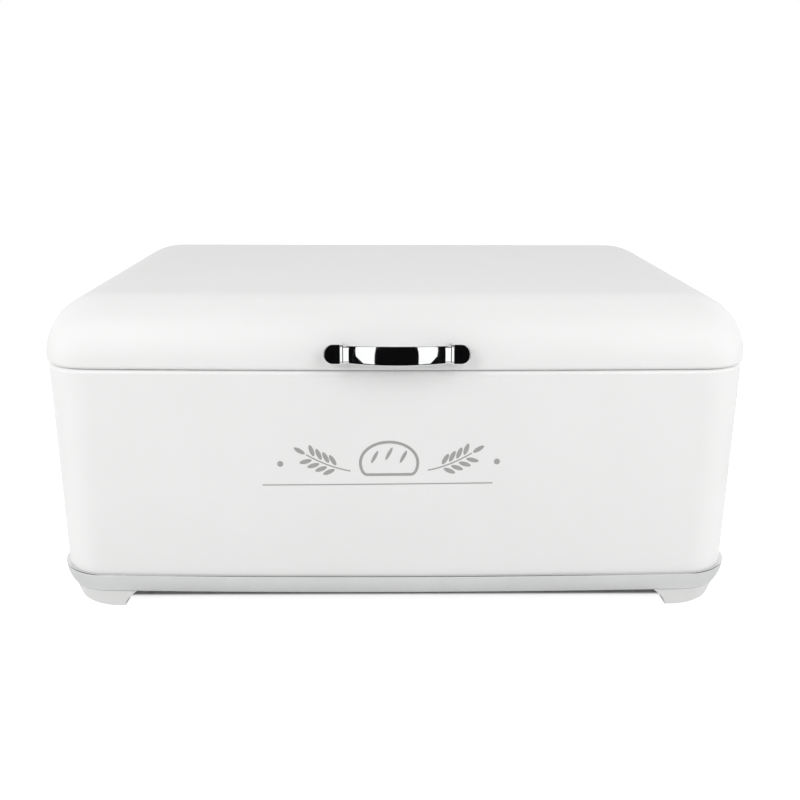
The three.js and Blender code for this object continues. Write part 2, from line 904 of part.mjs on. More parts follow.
const breadBox = new THREE.Group();
breadBox.add(
  piece("body_wall", bodyWall(), enamel()),
  piece("floor_pan", floorPan(), enamel()),
  piece("base_frame", baseFrame(), plastic()),
  piece("trim_band", trimBand(), chrome()),
  piece("lid_shell", lidShell(), enamel()),
  handleSet(),
  ...sides.map(([side, x]) => hinge(side, x)),
  ...corners.flatMap(cornerPieces),
);

// The origin lies under the middle of everything, so that handle and hinges reach out equally
breadBox.updateMatrixWorld(true);
breadBox.position.y = -new THREE.Box3().setFromObject(breadBox, true).getCenter(new THREE.Vector3()).y;
breadBox.updateMatrixWorld(true);

export default breadBox;
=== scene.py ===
# The looks of a white enamelled bread box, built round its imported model
from math import asin, atan, copysign, cos, hypot, pi, radians, sin, sqrt, tan

import bmesh
import bpy
from mathutils import Matrix, Vector

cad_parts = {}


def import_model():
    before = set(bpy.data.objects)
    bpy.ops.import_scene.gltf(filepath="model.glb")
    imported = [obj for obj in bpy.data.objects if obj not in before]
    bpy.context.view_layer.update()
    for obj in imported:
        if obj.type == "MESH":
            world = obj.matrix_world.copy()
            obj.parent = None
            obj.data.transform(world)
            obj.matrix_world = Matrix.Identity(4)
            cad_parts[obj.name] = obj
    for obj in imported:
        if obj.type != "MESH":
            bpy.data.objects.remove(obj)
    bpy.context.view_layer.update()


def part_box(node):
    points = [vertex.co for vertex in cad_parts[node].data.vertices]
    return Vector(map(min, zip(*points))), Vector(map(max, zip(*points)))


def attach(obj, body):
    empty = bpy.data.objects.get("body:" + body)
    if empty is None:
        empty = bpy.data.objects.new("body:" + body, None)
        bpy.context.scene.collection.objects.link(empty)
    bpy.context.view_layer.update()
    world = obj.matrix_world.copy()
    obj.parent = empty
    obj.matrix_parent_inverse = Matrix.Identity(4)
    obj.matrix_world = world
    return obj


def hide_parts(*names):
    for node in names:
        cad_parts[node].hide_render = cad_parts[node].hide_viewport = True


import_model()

# Metres. Sizes below are written in millimetres.
MM = 0.001

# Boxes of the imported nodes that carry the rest
WALL_LOW, WALL_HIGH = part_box("body_wall")
LID_LOW, LID_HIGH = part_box("lid_shell")
BAND_LOW, BAND_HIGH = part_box("trim_band")
BASE_LOW, BASE_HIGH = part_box("base_frame")
_, PAN_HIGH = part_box("floor_pan")
_, HANDLE_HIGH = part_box("handle")

# Sheet and clearances
SHEET = 1 * MM
FIT = 0.3 * MM
FRONT_CROWN = 3 * MM

# Lid
LID_RADIUS = 31 * MM
LID_TOP_RADIUS = 5 * MM
SIDE_SHOULDER = 38 * MM
FRONT_SHOULDER = 30 * MM
BACK_SHOULDER = 5 * MM
SILL = 1.4 * MM
LID_ROLL = 2.2 * MM
LID_RETURN = 6.8 * MM
LID_DROP = 0.7 * MM

# Body
WALL_RADIUS = 30 * MM
RIM_ROLL = 2.5 * MM
RIM_RETURN = 9 * MM
FOOT_ROLL = 1.2 * MM
FOOT_RETURN = 15.8 * MM
RIM_DROP = 0.15 * MM
VENT_RADIUS = 2 * MM
VENT_PITCH = 16 * MM
VENT_COUNT = 7
VENT_DROP = 32 * MM

# Floor pan
PAN_DROP = 1.5 * MM
PAN_SLOPE = 3 * MM

# Trim band
BAND_SHEET = 1 * MM
BAND_EDGE = 0.5 * MM
BAND_RETURN = 2.15 * MM
BAND_LEAN = 3.8 * MM

# Base and feet
SKIRT_WALL = 2 * MM
LEDGE_SHEET = 2 * MM
LIP_DROP = 2 * MM
LIP_EDGE = 0.5 * MM
FOOT_BACK = 0.4 * MM
FOOT_NECK = 1.3 * MM
FOOT_LENGTH = 49 * MM
FOOT_FLARE = 8 * MM
FOOT_TUCK = 1.2 * MM
FOOT_ROUNDING = 6.8 * MM
FOOT_CORNER = 4 * MM
FOOT_EDGE = 0.7 * MM

# Worked out from the boxes
LID_FRONT = LID_LOW.y + FRONT_CROWN
WALL_FRONT = WALL_LOW.y + FRONT_CROWN
SHOULDER_FOOT = LID_LOW.z + SILL
SHOULDER_RISE = LID_HIGH.z - SHOULDER_FOOT
BAND_OUT = BAND_HIGH.x - WALL_HIGH.x
LIP_OUT = BASE_HIGH.x - WALL_HIGH.x
LIP_FOOT = BAND_LOW.z - LIP_DROP
SKIRT_OUT = BAND_OUT - BAND_SHEET - FIT
TURN_IN = FOOT_ROLL + FOOT_RETURN

# Smoothness
CORNER_STEPS = 24
CROWN_STEPS = 24
ROLL_STEPS = 8
BULGE_STEPS = 16
SHOULDER_STEPS = 40
FOOT_STEPS = 16
STRAP_STEPS = 64
DOME_STEPS = 12
BEND_STEPS = 24
ROUND_SIDES = 48
FLOOR_SIDES = 96
# Extra points near the ends of a straight side keep its shading flat
SUPPORT_SHARES = (0.02, 0.98)
# Edges that turn by more are shown crisp
CRISP_ANGLE = radians(40)
# Small edges that are chamfered or rounded
SMALL_EDGE = 0.2 * MM
# A mesh's corners that lie closer are merged
LEAST_EDGE = 0.001 * MM


def shares(steps):
    """Numbers from 0 to 1 in equal steps."""
    return [i / steps for i in range(steps + 1)]


def between(start, end, steps):
    """Numbers from start to end in equal steps."""
    return [start + (end - start) * share for share in shares(steps)]


def quarter(steps):
    """Angles of a quarter turn in equal steps."""
    return between(0, pi / 2, steps)


ROLL = quarter(ROLL_STEPS)


# Outlines


def outline(left, right, front, back, radius, z):
    """A rounded rectangle at height z, counter-clockwise from above, its front bowed out."""
    lean = atan(4 * FRONT_CROWN / (right - left - 2 * radius))
    # Each corner with its arc's first and last angle. In front they stop where the bow leans alike.
    corners = [
        (right - radius, front + radius, lean - pi / 2, 0),
        (right - radius, back - radius, 0, pi / 2),
        (left + radius, back - radius, pi / 2, pi),
        (left + radius, front + radius, pi, 1.5 * pi - lean),
    ]
    arcs = [
        [Vector((x + radius * cos(t), y + radius * sin(t), z)) for t in between(start, end, CORNER_STEPS)]
        for x, y, start, end in corners
    ]
    ring = []
    for arc, following in zip(arcs, arcs[1:]):
        ring += arc + [arc[-1].lerp(following[0], share) for share in SUPPORT_SHARES]
    ring += arcs[-1]
    first, last = arcs[-1][-1], arcs[0][0]
    bow = first.y - (front - FRONT_CROWN)
    for share in shares(CROWN_STEPS)[1:-1]:
        x = first.x + (last.x - first.x) * share
        ring.append(Vector((x, first.y - 4 * bow * share * (1 - share), z)))
    return ring


def wall_outline(outset, z):
    """The body's outline grown by outset."""
    sides = (WALL_LOW.x - outset, WALL_HIGH.x + outset, WALL_FRONT - outset, WALL_HIGH.y + outset)
    return outline(*sides, WALL_RADIUS + outset, z)


def lid_outline(side, front, back, radius, z):
    """The lid's outline with its own inset on each side."""
    return outline(LID_LOW.x + side, LID_HIGH.x - side, LID_FRONT + front, LID_HIGH.y - back, radius, z)


def lid_inset(inset, z):
    return lid_outline(inset, inset, inset, LID_RADIUS - inset, z)


def shoulder_outline(turn, depth):
    """One outline of the lid's shoulders, depth inside the outer face."""
    rise = 1 - cos(turn)
    z = SHOULDER_FOOT + (SHOULDER_RISE - depth) * sin(turn)
    back_radius = BACK_SHOULDER - depth
    above = max(0.0, z - (LID_HIGH.z - BACK_SHOULDER))
    back = depth + back_radius - sqrt(max(0.0, back_radius**2 - above**2))
    # The corner's radius shrinks with the front's inset and eases into its least radius
    straight = sqrt((LID_RADIUS - depth) ** 2 - LID_TOP_RADIUS**2)
    radius = hypot(straight * (1 - rise), LID_TOP_RADIUS)
    side, front = (depth + (shoulder - depth) * rise for shoulder in (SIDE_SHOULDER, FRONT_SHOULDER))
    return lid_outline(side, front, back, radius, z)


def lid_front_at(x, z):
    """The lid's front face at x and height z."""
    height = min(1.0, max(0.0, (z - SHOULDER_FOOT) / SHOULDER_RISE))
    rise = 1 - sqrt(1 - height**2)
    half = LID_HIGH.x - SIDE_SHOULDER * rise - LID_RADIUS * (1 - rise)
    return LID_FRONT + FRONT_SHOULDER * rise - FRONT_CROWN * (1 - (x / half) ** 2)


def wall_front_at(x):
    """The body's front face at x."""
    half = WALL_HIGH.x - WALL_RADIUS
    return WALL_FRONT - FRONT_CROWN * (1 - (x / half) ** 2)


# Meshes


def polar(radius, angle, height):
    """A point round the Z axis."""
    return Vector((radius * cos(angle), radius * sin(angle), height))


AROUND = between(0, 2 * pi, ROUND_SIDES)[:-1]


def skin(bm, lower, upper):
    """Faces between two closed rows of corners, of which one may be a single corner."""
    for i in range(max(len(lower), len(upper))):
        low = [lower[k % len(lower)] for k in (i, i + 1)]
        high = [upper[k % len(upper)] for k in (i + 1, i)]
        bm.faces.new(list(dict.fromkeys(low + high)))


def loft(rings, closed=False, bm=None):
    """A skin through outlines of equally many points, capped at both ends or closed on itself."""
    bm = bm or bmesh.new()
    rows = [[bm.verts.new(point) for point in ring] for ring in rings]
    following = rows[1:] + (rows[:1] if closed else [])
    for lower, upper in zip(rows, following):
        skin(bm, lower, upper)
    if not closed:
        bm.faces.new(rows[0][::-1])
        bm.faces.new(rows[-1])
    return bm


def wall_loft(profile, closed=True):
    """A skin round the body from (outset, height) pairs."""
    return loft([wall_outline(outset, z) for outset, z in profile], closed)


def turned(profile, place=(0, 0, 0), axis="Z", bm=None):
    """A body turned from (radius, height) pairs that starts and ends on its axis."""
    bm = bm or bmesh.new()
    turn, about = {"X": (pi / 2, "Y"), "Y": (-pi / 2, "X"), "Z": (0, "Z")}[axis]
    move = Matrix.Translation(place) @ Matrix.Rotation(turn, 4, about)
    rows = []
    for radius, height in profile:
        angles = AROUND if radius else AROUND[:1]
        rows.append([bm.verts.new(move @ polar(radius, a, height)) for a in angles])
    for lower, upper in zip(rows, rows[1:]):
        skin(bm, lower, upper)
    return bm


def chamfered_ring(bore, radius, start, end, edge):
    """A ring round Z with its two outer edges chamfered."""
    section = [(bore, start), (radius - edge, start), (radius, start + edge)]
    section += [(radius, end - edge), (radius - edge, end), (bore, end)]
    return loft([[polar(r, a, z) for r, z in section] for a in AROUND], closed=True)


def linked(name, data):
    """A new object in the scene."""
    thing = bpy.data.objects.new(name, data)
    bpy.context.scene.collection.objects.link(thing)
    return thing


def object_of(name, bm):
    """A new object in the scene, made of a mesh that is used up."""
    mesh = bpy.data.meshes.new(name)
    bm.to_mesh(mesh)
    bm.free()
    return linked(name, mesh)


def finished(name, bm, look, body, replaced=()):
    """A piece of the part: a clean mesh with outward faces and crisp edges, its look and its body."""
    material, slot = look
    bmesh.ops.remove_doubles(bm, verts=bm.verts, dist=LEAST_EDGE)
    strays = [vert for vert in bm.verts if not vert.link_faces]
    bmesh.ops.delete(bm, geom=strays, context="VERTS")
    bmesh.ops.recalc_face_normals(bm, faces=bm.faces)
    if bm.calc_volume(signed=True) < 0:
        bmesh.ops.reverse_faces(bm, faces=bm.faces)
    for face in bm.faces:
        face.smooth = True
    for edge in bm.edges:
        if len(edge.link_faces) == 2:
            edge.smooth = edge.calc_face_angle() < CRISP_ANGLE
    piece = object_of(name, bm)
    piece.data.materials.append(material)
    piece.modifiers.new("Normals", "WEIGHTED_NORMAL").keep_sharp = True
    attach(piece, body)
    if replaced:
        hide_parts(*replaced)


def bevel_sharp(bm, width, segments=2, angle=60):
    """Rounds the edges that turn by more than angle."""
    bmesh.ops.recalc_face_normals(bm, faces=bm.faces)
    sharp = [e for e in bm.edges if len(e.link_faces) == 2 and e.calc_face_angle() > radians(angle)]
    rounding = {"offset": width, "segments": segments, "profile": 0.5, "clamp_overlap": True}
    bmesh.ops.bevel(bm, geom=sharp, affect="EDGES", **rounding)


def combined(first, second, operation):
    """The closed mesh that a boolean operation makes of two."""
    for bm in (first, second):
        bmesh.ops.recalc_face_normals(bm, faces=bm.faces)
    base, tool = object_of("step", first), object_of("step", second)
    boolean = base.modifiers.new("Combine", "BOOLEAN")
    boolean.operation = operation
    boolean.solver = "MANIFOLD"
    boolean.object = tool
    bpy.context.view_layer.update()
    result = bmesh.new()
    result.from_object(base, bpy.context.evaluated_depsgraph_get())
    for step in (base, tool):
        bpy.data.meshes.remove(step.data)
    return result


def united(parts):
    """One closed mesh of parts that run into each other."""
    whole = parts[0]
    for part in parts[1:]:
        whole = combined(whole, part, "UNION")
    return whole


def carved(bm, cutters):
    return combined(bm, cutters, "DIFFERENCE")


# Materials


class Nodes:
    """A node tree, with short ways to add and link nodes."""

    def __init__(self, owner):
        owner.use_nodes = True
        self.tree = owner.node_tree

    def put(self, value, socket):
        """Sets a socket to a value, or links it to another node's output."""
        if isinstance(value, bpy.types.NodeSocket):
            self.tree.links.new(value, socket)
        else:
            socket.default_value = value

    def add(self, kind, inputs, **settings):
        """Adds a node and gives its outputs."""
        node = self.tree.nodes.new(f"ShaderNode{kind}")
        for key, value in settings.items():
            setattr(node, key, value)
        for key, value in inputs.items():
            self.put(value, node.inputs[key])
        return node.outputs

    def calc(self, operation, *values):
        return self.add("Math", dict(enumerate(values)), operation=operation)[0]

    def place(self):
        return self.add("TexCoord", {})["Object"]

    def noise(self, size, detail, stretch=(1, 1, 1)):
        """Noise with lumps about size metres across, drawn out along the axes by stretch."""
        scale = [1 / (size * s) for s in stretch]
        place = self.add("Mapping", {"Vector": self.place(), "Scale": scale})["Vector"]
        return self.add("TexNoise", {"Vector": place, "Scale": 1.0, "Detail": detail})["Fac"]

    def ranged(self, value, low, high, source=(0.3, 0.7)):
        """A value within source, spread from low to high."""
        ends = {"From Min": source[0], "From Max": source[1], "To Min": low, "To Max": high}
        return self.add("MapRange", {"Value": value, **ends})["Result"]

    def mixed(self, value, low, high):
        """Colours between low and high."""
        outputs = self.add("Mix", {"Factor": self.ranged(value, 0, 1)}, data_type="RGBA")
        # A Mix node has sockets of one name for each type of data
        for color, socket in zip((low, high), [s for s in outputs[0].node.inputs if s.type == "RGBA"]):
            socket.default_value = (*color, 1)
        return [s for s in outputs if s.type == "RGBA"][0]


def surface(name, slot, color, roughness, metallic=0.0, tones=None, polish=None, relief=()):
    """A material and its slot.

    tones, polish and each relief begin with their noise's size, detail and stretch. Two colours follow
    in tones, two roughnesses in polish, and the height in metres in a relief.
    """
    material = bpy.data.materials.new(name)
    nodes = Nodes(material)
    shader = nodes.tree.nodes["Principled BSDF"].inputs
    shader["Base Color"].default_value = (*color, 1)
    shader["Roughness"].default_value = roughness
    shader["Metallic"].default_value = metallic
    if tones:
        noise, low, high = tones
        nodes.put(nodes.mixed(nodes.noise(*noise), low, high), shader["Base Color"])
    noise, low, high = polish
    nodes.put(nodes.ranged(nodes.noise(*noise), low, high), shader["Roughness"])
    lower = {}
    for noise, height in relief:
        raised = {"Height": nodes.noise(*noise), "Strength": 1.0, "Distance": height}
        lower = {"Normal": nodes.add("Bump", {**raised, **lower})["Normal"]}
    nodes.put(lower["Normal"], shader["Normal"])
    return material, slot


def zinc_steel(name, slot, grain):
    """Zinc-plated steel with a fine spangle and short scratches."""
    return surface(
        name, slot, (0.6, 0.61, 0.62), 0.32, 1.0,
        tones=((grain, 4), (0.52, 0.53, 0.545), (0.68, 0.685, 0.69)),
        polish=((grain / 2, 3, (6, 1, 1)), 0.24, 0.42),
        relief=[((grain / 3, 2, (8, 1, 1)), 0.006 * MM)],
    )


# White powder enamel: satin, with fine orange peel
ENAMEL = surface(
    "white_enamel", "enamel", (0.87, 0.87, 0.865), 0.45,
    tones=((60 * MM, 3), (0.862, 0.862, 0.857), (0.876, 0.876, 0.872)),
    polish=((9 * MM, 4), 0.42, 0.48),
    relief=[((1.6 * MM, 2), 0.012 * MM), ((0.35 * MM, 2), 0.003 * MM)],
)
# White moulded plastic with a fine matte grain
PLASTIC = surface(
    "base_plastic", "base_plastic", (0.80, 0.80, 0.795), 0.5,
    tones=((25 * MM, 3), (0.79, 0.79, 0.783), (0.81, 0.81, 0.805)),
    polish=((4 * MM, 3), 0.46, 0.56),
    relief=[((0.5 * MM, 2), 0.02 * MM)],
)
# The band's chromed strip, drawn lengthwise, so its fine lines run level
SATIN_CHROME = surface(
    "satin_chrome", "band_chrome", (0.75, 0.755, 0.76), 0.22, 1.0,
    tones=((30 * MM, 2), (0.73, 0.735, 0.74), (0.77, 0.775, 0.78)),
    polish=((2 * MM, 3, (20, 20, 1)), 0.18, 0.27),
    relief=[((0.25 * MM, 2, (60, 60, 1)), 0.002 * MM)],
)
# The handle's bright chrome, with the faint waves of a cast and polished piece
BRIGHT_CHROME = surface(
    "bright_chrome", "handle_chrome", (0.86, 0.865, 0.87), 0.04, 1.0,
    polish=((3 * MM, 4), 0.02, 0.07),
    relief=[((7 * MM, 2), 0.02 * MM)],
)
HINGE_STEEL = zinc_steel("hinge_zinc", "hinge_steel", 2.2 * MM)
ZINC = zinc_steel("fastener_zinc", "fastener_steel", 1.1 * MM)
RUBBER = surface(
    "black_rubber", "rubber", (0.03, 0.03, 0.032), 0.8,
    tones=((5 * MM, 3), (0.025, 0.025, 0.027), (0.045, 0.045, 0.047)),
    polish=((2 * MM, 3), 0.7, 0.9),
    relief=[((0.4 * MM, 3), 0.03 * MM)],
)
# Grey screen print with the slight unevenness of its ink
PRINT = surface(
    "grey_print", "enamel", (0.37, 0.37, 0.365), 0.42,
    tones=((1.2 * MM, 3), (0.35, 0.35, 0.345), (0.39, 0.39, 0.385)),
    polish=((0.8 * MM, 3), 0.38, 0.5),
    relief=[((0.4 * MM, 2), 0.004 * MM)],
)

SIDES = (("left", -1), ("right", 1))
CORNERS = [(f"{end}_{side}", x, y) for side, x in SIDES for end, y in (("front", -1), ("back", 1))]


# Body


def body_wall():
    """A straight wall, its rim and its foot rolled in."""
    top = WALL_HIGH.z - RIM_DROP
    foot, rim = WALL_LOW.z + FOOT_ROLL, top - RIM_ROLL

    def roll(start, radius, flip, depth=0.0):
        """A rolled edge that begins at start, flip 1 upwards and -1 downwards."""
        return [(radius * (cos(a) - 1) - depth, start + flip * radius * sin(a)) for a in ROLL]

    profile = [(-TURN_IN, WALL_LOW.z)]
    profile += reversed(roll(foot, FOOT_ROLL, -1))
    profile += roll(rim, RIM_ROLL, 1)
    profile += [(-RIM_ROLL - RIM_RETURN, top), (-RIM_ROLL - RIM_RETURN, top - SHEET)]
    profile += reversed(roll(rim, RIM_ROLL - SHEET, 1, SHEET))
    profile += roll(foot, FOOT_ROLL - SHEET, -1, SHEET)
    profile += [(-TURN_IN, WALL_LOW.z + SHEET)]
    vents, reach = bmesh.new(), (VENT_COUNT - 1) / 2 * VENT_PITCH
    for x in between(-reach, reach, VENT_COUNT - 1):
        cutter = [(0, -3 * SHEET), (VENT_RADIUS, -3 * SHEET), (VENT_RADIUS, 2 * SHEET), (0, 2 * SHEET)]
        turned(cutter, (x, WALL_HIGH.y, WALL_HIGH.z - VENT_DROP), "Y", vents)
    finished("body_shell", carved(wall_loft(profile), vents), ENAMEL, "box", ["body_wall"])


def floor_pan():
    """The chamber's floor: lies on the turned-in foot, with its middle pressed down."""
    level = WALL_LOW.z + SHEET
    edge, bend = PAN_HIGH.x - WALL_HIGH.x, -TURN_IN - FIT
    ease = [(bend - PAN_SLOPE * s, -PAN_DROP * (1 - cos(pi * s)) / 2) for s in shares(ROLL_STEPS)]
    under = [(o, level + z) for o, z in reversed(ease)]
    over = [(o - SHEET, level + SHEET + z) for o, z in ease]
    bm = wall_loft([*under, (edge, level), (edge, level + SHEET), *over], closed=False)
    finished("floor_panel", bm, ENAMEL, "box", ["floor_pan"])


# Band and base


def trim_band():
    """The chromed strip, bowed in towards its foot, its top edge turned in over the base."""
    edge_foot = BAND_HIGH.z - BAND_EDGE
    rise = edge_foot - LIP_FOOT
    edge = [(BAND_EDGE * (cos(a) - 1), BAND_EDGE * sin(a)) for a in ROLL]

    def face(start, end, depth):
        levels = between(start, end, FOOT_STEPS)
        return [(BAND_OUT - depth - BAND_LEAN * ((edge_foot - z) / rise) ** 2, z) for z in levels]

    profile = [(BAND_OUT - BAND_LEAN - BAND_EDGE / 2, LIP_FOOT)]
    profile += face(LIP_FOOT + BAND_EDGE / 2, edge_foot, 0)[:-1]
    profile += [(BAND_OUT + o, edge_foot + z) for o, z in edge]
    profile += [(BAND_OUT - BAND_RETURN, BAND_HIGH.z), (BAND_OUT - BAND_RETURN, BAND_HIGH.z - BAND_SHEET)]
    profile += face(BAND_HIGH.z - BAND_SHEET, LIP_FOOT, BAND_SHEET)
    finished("chrome_band", wall_loft(profile), SATIN_CHROME, "box", ["trim_band"])


def base_ring():
    """The base's ledge and the skirt behind the band, which leans in with it."""
    foot = SKIRT_OUT - BAND_LEAN
    top, bottom = BASE_HIGH.z, LIP_FOOT + FIT
    under = top - LEDGE_SHEET
    profile = [(foot - SKIRT_WALL, bottom), (foot - LIP_EDGE, bottom), (foot, bottom + LIP_EDGE)]
    profile += [(SKIRT_OUT, top - SKIRT_WALL), (SKIRT_OUT, top), (-TURN_IN, top)]
    profile += [(-TURN_IN, under), (SKIRT_OUT - SKIRT_WALL, under)]
    finished("base_ring", wall_loft(profile), PLASTIC, "box", ["base_frame"])


def foot_outline(outset, rounding, slope, z, crown):
    """One level of the front right foot, counter-clockwise from its left end on the front."""
    right, front = WALL_HIGH.x + outset, WALL_FRONT - outset
    radius = WALL_RADIUS + outset + rounding
    half = right - radius
    left = WALL_HIGH.x + LIP_OUT - FOOT_LENGTH + slope
    back = WALL_FRONT - LIP_OUT + FOOT_LENGTH - slope
    lean = atan(2 * crown / half)
    turns = between(lean - pi / 2, 0, CORNER_STEPS)
    arc = [(half + radius * cos(t), front + radius + radius * sin(t)) for t in turns]
    stretch = [(x, front - crown * (1 - (x / half) ** 2)) for x in between(left, arc[0][0], ROLL_STEPS)[:-1]]
    inner = FOOT_CORNER
    corner = [(left + inner - inner * sin(a), back - inner + inner * cos(a)) for a in ROLL]
    return [Vector((x, y, z)) for x, y in [*stretch, *arc, (right, back), *corner]]


def foot(place, x_side, y_side):
    """A corner foot, rounder towards the ground, its inner sides flaring into the base."""
    crown = FRONT_CROWN if y_side < 0 else 0.0
    outset, top = BAND_OUT - BAND_LEAN - FOOT_BACK, LIP_FOOT - FIT
    rings = []
    for share in shares(FOOT_STEPS):
        low = 1 - share
        z = BASE_LOW.z + (top - BASE_LOW.z) * share
        slope = FOOT_FLARE * sin(low * pi / 2)
        rings.append(foot_outline(outset - FOOT_TUCK * low, FOOT_ROUNDING * low, slope, z, crown))
    rings += [foot_outline(outset - FOOT_NECK, 0, 0, z, crown) for z in (top, top + FOOT_NECK)]
    for point in sum(rings, []):
        point.x *= x_side
        if y_side > 0:
            point.y = WALL_FRONT + WALL_HIGH.y - point.y
    bm = loft(rings)
    bevel_sharp(bm, FOOT_EDGE, segments=3, angle=50)
    finished(f"foot_{place}", bm, PLASTIC, "box")


PAD_CHAMFER = 0.3 * MM
PAD_GROOVE_DEPTH = 0.4 * MM
# Each groove's inner and outer radius by the pad's radius
PAD_GROOVES = ((0.35, 0.45), (0.65, 0.75))


def foot_pad(place):
    """A rubber pad with a small chamfer and two grooves in its underside."""
    low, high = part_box(f"foot_pad_{place}")
    centre, radius = (low + high) / 2, (high.x - low.x) / 2
    groove_top = low.z + PAD_GROOVE_DEPTH
    profile = [(0, low.z)]
    for inner, outer in PAD_GROOVES:
        inner, outer = radius * inner, radius * outer
        profile += [(inner, low.z), (inner, groove_top), (outer, groove_top), (outer, low.z)]
    profile += [(radius - PAD_CHAMFER, low.z), (radius, low.z + PAD_CHAMFER), (radius, high.z), (0, high.z)]
    bm = turned(profile, (centre.x, centre.y, 0))
    finished(f"pad_{place}", bm, RUBBER, "box", [f"foot_pad_{place}"])


# Lid

TOP_INSET = 2 * MM


def lid_shell():
    """A pressed cover with rounded shoulders and a turned-in edge."""
    foot = LID_LOW.z - LID_DROP
    roll = foot + LID_ROLL
    wall_foot = max(SHOULDER_FOOT, roll + FIT)
    turns = [t for t in quarter(SHOULDER_STEPS) if SHOULDER_FOOT + SHOULDER_RISE * sin(t) > wall_foot]

    def edge(radius, depth):
        return [lid_inset(depth + radius * (1 - cos(a)), roll - radius * sin(a)) for a in ROLL]

    inner_turn = LID_ROLL + LID_RETURN
    rings = [shoulder_outline(t, SHEET) for t in reversed(turns)]
    rings += edge(LID_ROLL - SHEET, SHEET)
    rings += [lid_inset(inner_turn, foot + SHEET), lid_inset(inner_turn, foot)]
    rings += reversed(edge(LID_ROLL, 0.0))
    rings += [shoulder_outline(t, 0.0) for t in turns]
    bm = loft(rings)
    # A second outline just inside each end keeps the flat top flat
    caps = [face for face in bm.faces if len(face.verts) == len(rings[0])]
    bmesh.ops.inset_individual(bm, faces=caps, thickness=TOP_INSET, use_even_offset=True)
    finished("lid_cover", bm, ENAMEL, "lid", ["lid_shell"])


# Handle, drawn from its seat on the lid: x to the right, -y out of the lid

HANDLE_ABOVE = 10.6 * MM
HANDLE_REACH = 17 * MM
END_WIDTH = 9.85 * MM
END_MIDDLE = 4.45 * MM
END_HEIGHT = 11.5 * MM
END_REACH = 9.5 * MM
END_EDGE = 0.6 * MM
END_CROWN = 0.15 * MM
END_CORNER = 0.8 * MM
COLLAR_WIDTH = 0.85 * MM
COLLAR_PROUD = 0.15 * MM
COLLAR_SLOPE = 0.38 * MM
COLLAR_CORNER = 2 * MM
GROOVE_WIDTH = 0.5 * MM
NECK_WIDTH = 3.1 * MM
NECK_HEIGHT = 9.4 * MM
NECK_SLOPE = 1 * MM
NECK_CORNER = 1.2 * MM
NECK_EDGE = 0.15 * MM
STRAP_REACH = 8 * MM
STRAP_HEIGHT = 10 * MM
STRAP_CROWN = 1.1 * MM
STRAP_BULGE = 0.4 * MM
STRAP_SAG = 0.5 * MM
STRAP_SHEET = 3 * MM
STRAP_CORNER = 0.5 * MM
# How deep the handle runs into the lid's sheet, and the rounds that find the place
SEAT_SUNK = SHEET / 3
SEAT_ROUNDS = 4

SEAT_Z = WALL_HIGH.z + HANDLE_ABOVE
SEAT_TURN = asin((SEAT_Z - SHOULDER_FOOT) / SHOULDER_RISE)
SEAT_TILT = atan(FRONT_SHOULDER * tan(SEAT_TURN) / SHOULDER_RISE)
SEAT_Y = LID_LOW.y + FRONT_SHOULDER * (1 - cos(SEAT_TURN))
SEAT = Matrix.Translation((0, SEAT_Y, SEAT_Z)) @ Matrix.Rotation(-SEAT_TILT, 4, "X")
END_X = HANDLE_HIGH.x - END_MIDDLE


def seated(x, z):
    """The lid's front face at a place on the seat, a little inside the sheet."""
    y = 0.0
    for _ in range(SEAT_ROUNDS):
        at = SEAT @ Vector((x, y, z))
        y += (lid_front_at(at.x, at.z) + SEAT_SUNK - at.y) / cos(SEAT_TILT)
    return y


def rounded(low, high, radii, steps=ROLL_STEPS):
    """A rounded rectangle whose radii begin at the first coordinate's high and the second's low."""
    points = []
    for corner, radius in enumerate(radii):
        x = high[0] - radius if corner in (0, 1) else low[0] + radius
        y = high[1] - radius if corner in (1, 2) else low[1] + radius
        for share in shares(steps):
            turn = (share + corner - 1) * pi / 2
            points.append((x + radius * cos(turn), y + radius * sin(turn)))
    return points


def handle_end(side):
    """A rounded end: straight out of the lid, a round edge and a slightly domed face."""
    outer, face = HANDLE_HIGH.x, END_REACH - END_CROWN

    def section(inset):
        half = END_HEIGHT / 2 - inset
        big, small = half - FIT, min(END_CORNER, half / 2)
        low, high = (outer - END_WIDTH + inset, -half), (outer - inset, half)
        return rounded(low, high, [big, big, small, small], DOME_STEPS)

    rings = [[(x, seated(x, z), z) for x, z in section(0)]]
    levels = [(END_EDGE * (1 - cos(a)), face - END_EDGE * (1 - sin(a))) for a in ROLL]
    spread = END_HEIGHT / 2 - 2 * END_CORNER - END_EDGE
    levels += [(END_EDGE + spread * s, face + END_CROWN * (1 - (1 - s) ** 2)) for s in shares(ROLL_STEPS)[1:]]
    for inset, reach in levels:
        rings.append([(x, -reach, z) for x, z in section(inset)])
    return loft([[(side * x, y, z) for x, y, z in ring] for ring in rings])


def handle_block(side, ends, height, corner, edge):
    """A block with rounded corners between two ends, each a place across and a reach."""
    half = height / 2
    rings = []
    for x, reach in ends:
        # In (y, z): the two corners in the lid are nearly square, the two in front round
        section = rounded((-reach, -half), (0, half), [edge, edge, corner, corner])
        rings.append([(x, y if y < -edge else seated(x, z), z) for y, z in section])
    bm = loft([[(side * x, y, z) for x, y, z in ring] for ring in rings])
    bevel_sharp(bm, edge)
    return bm


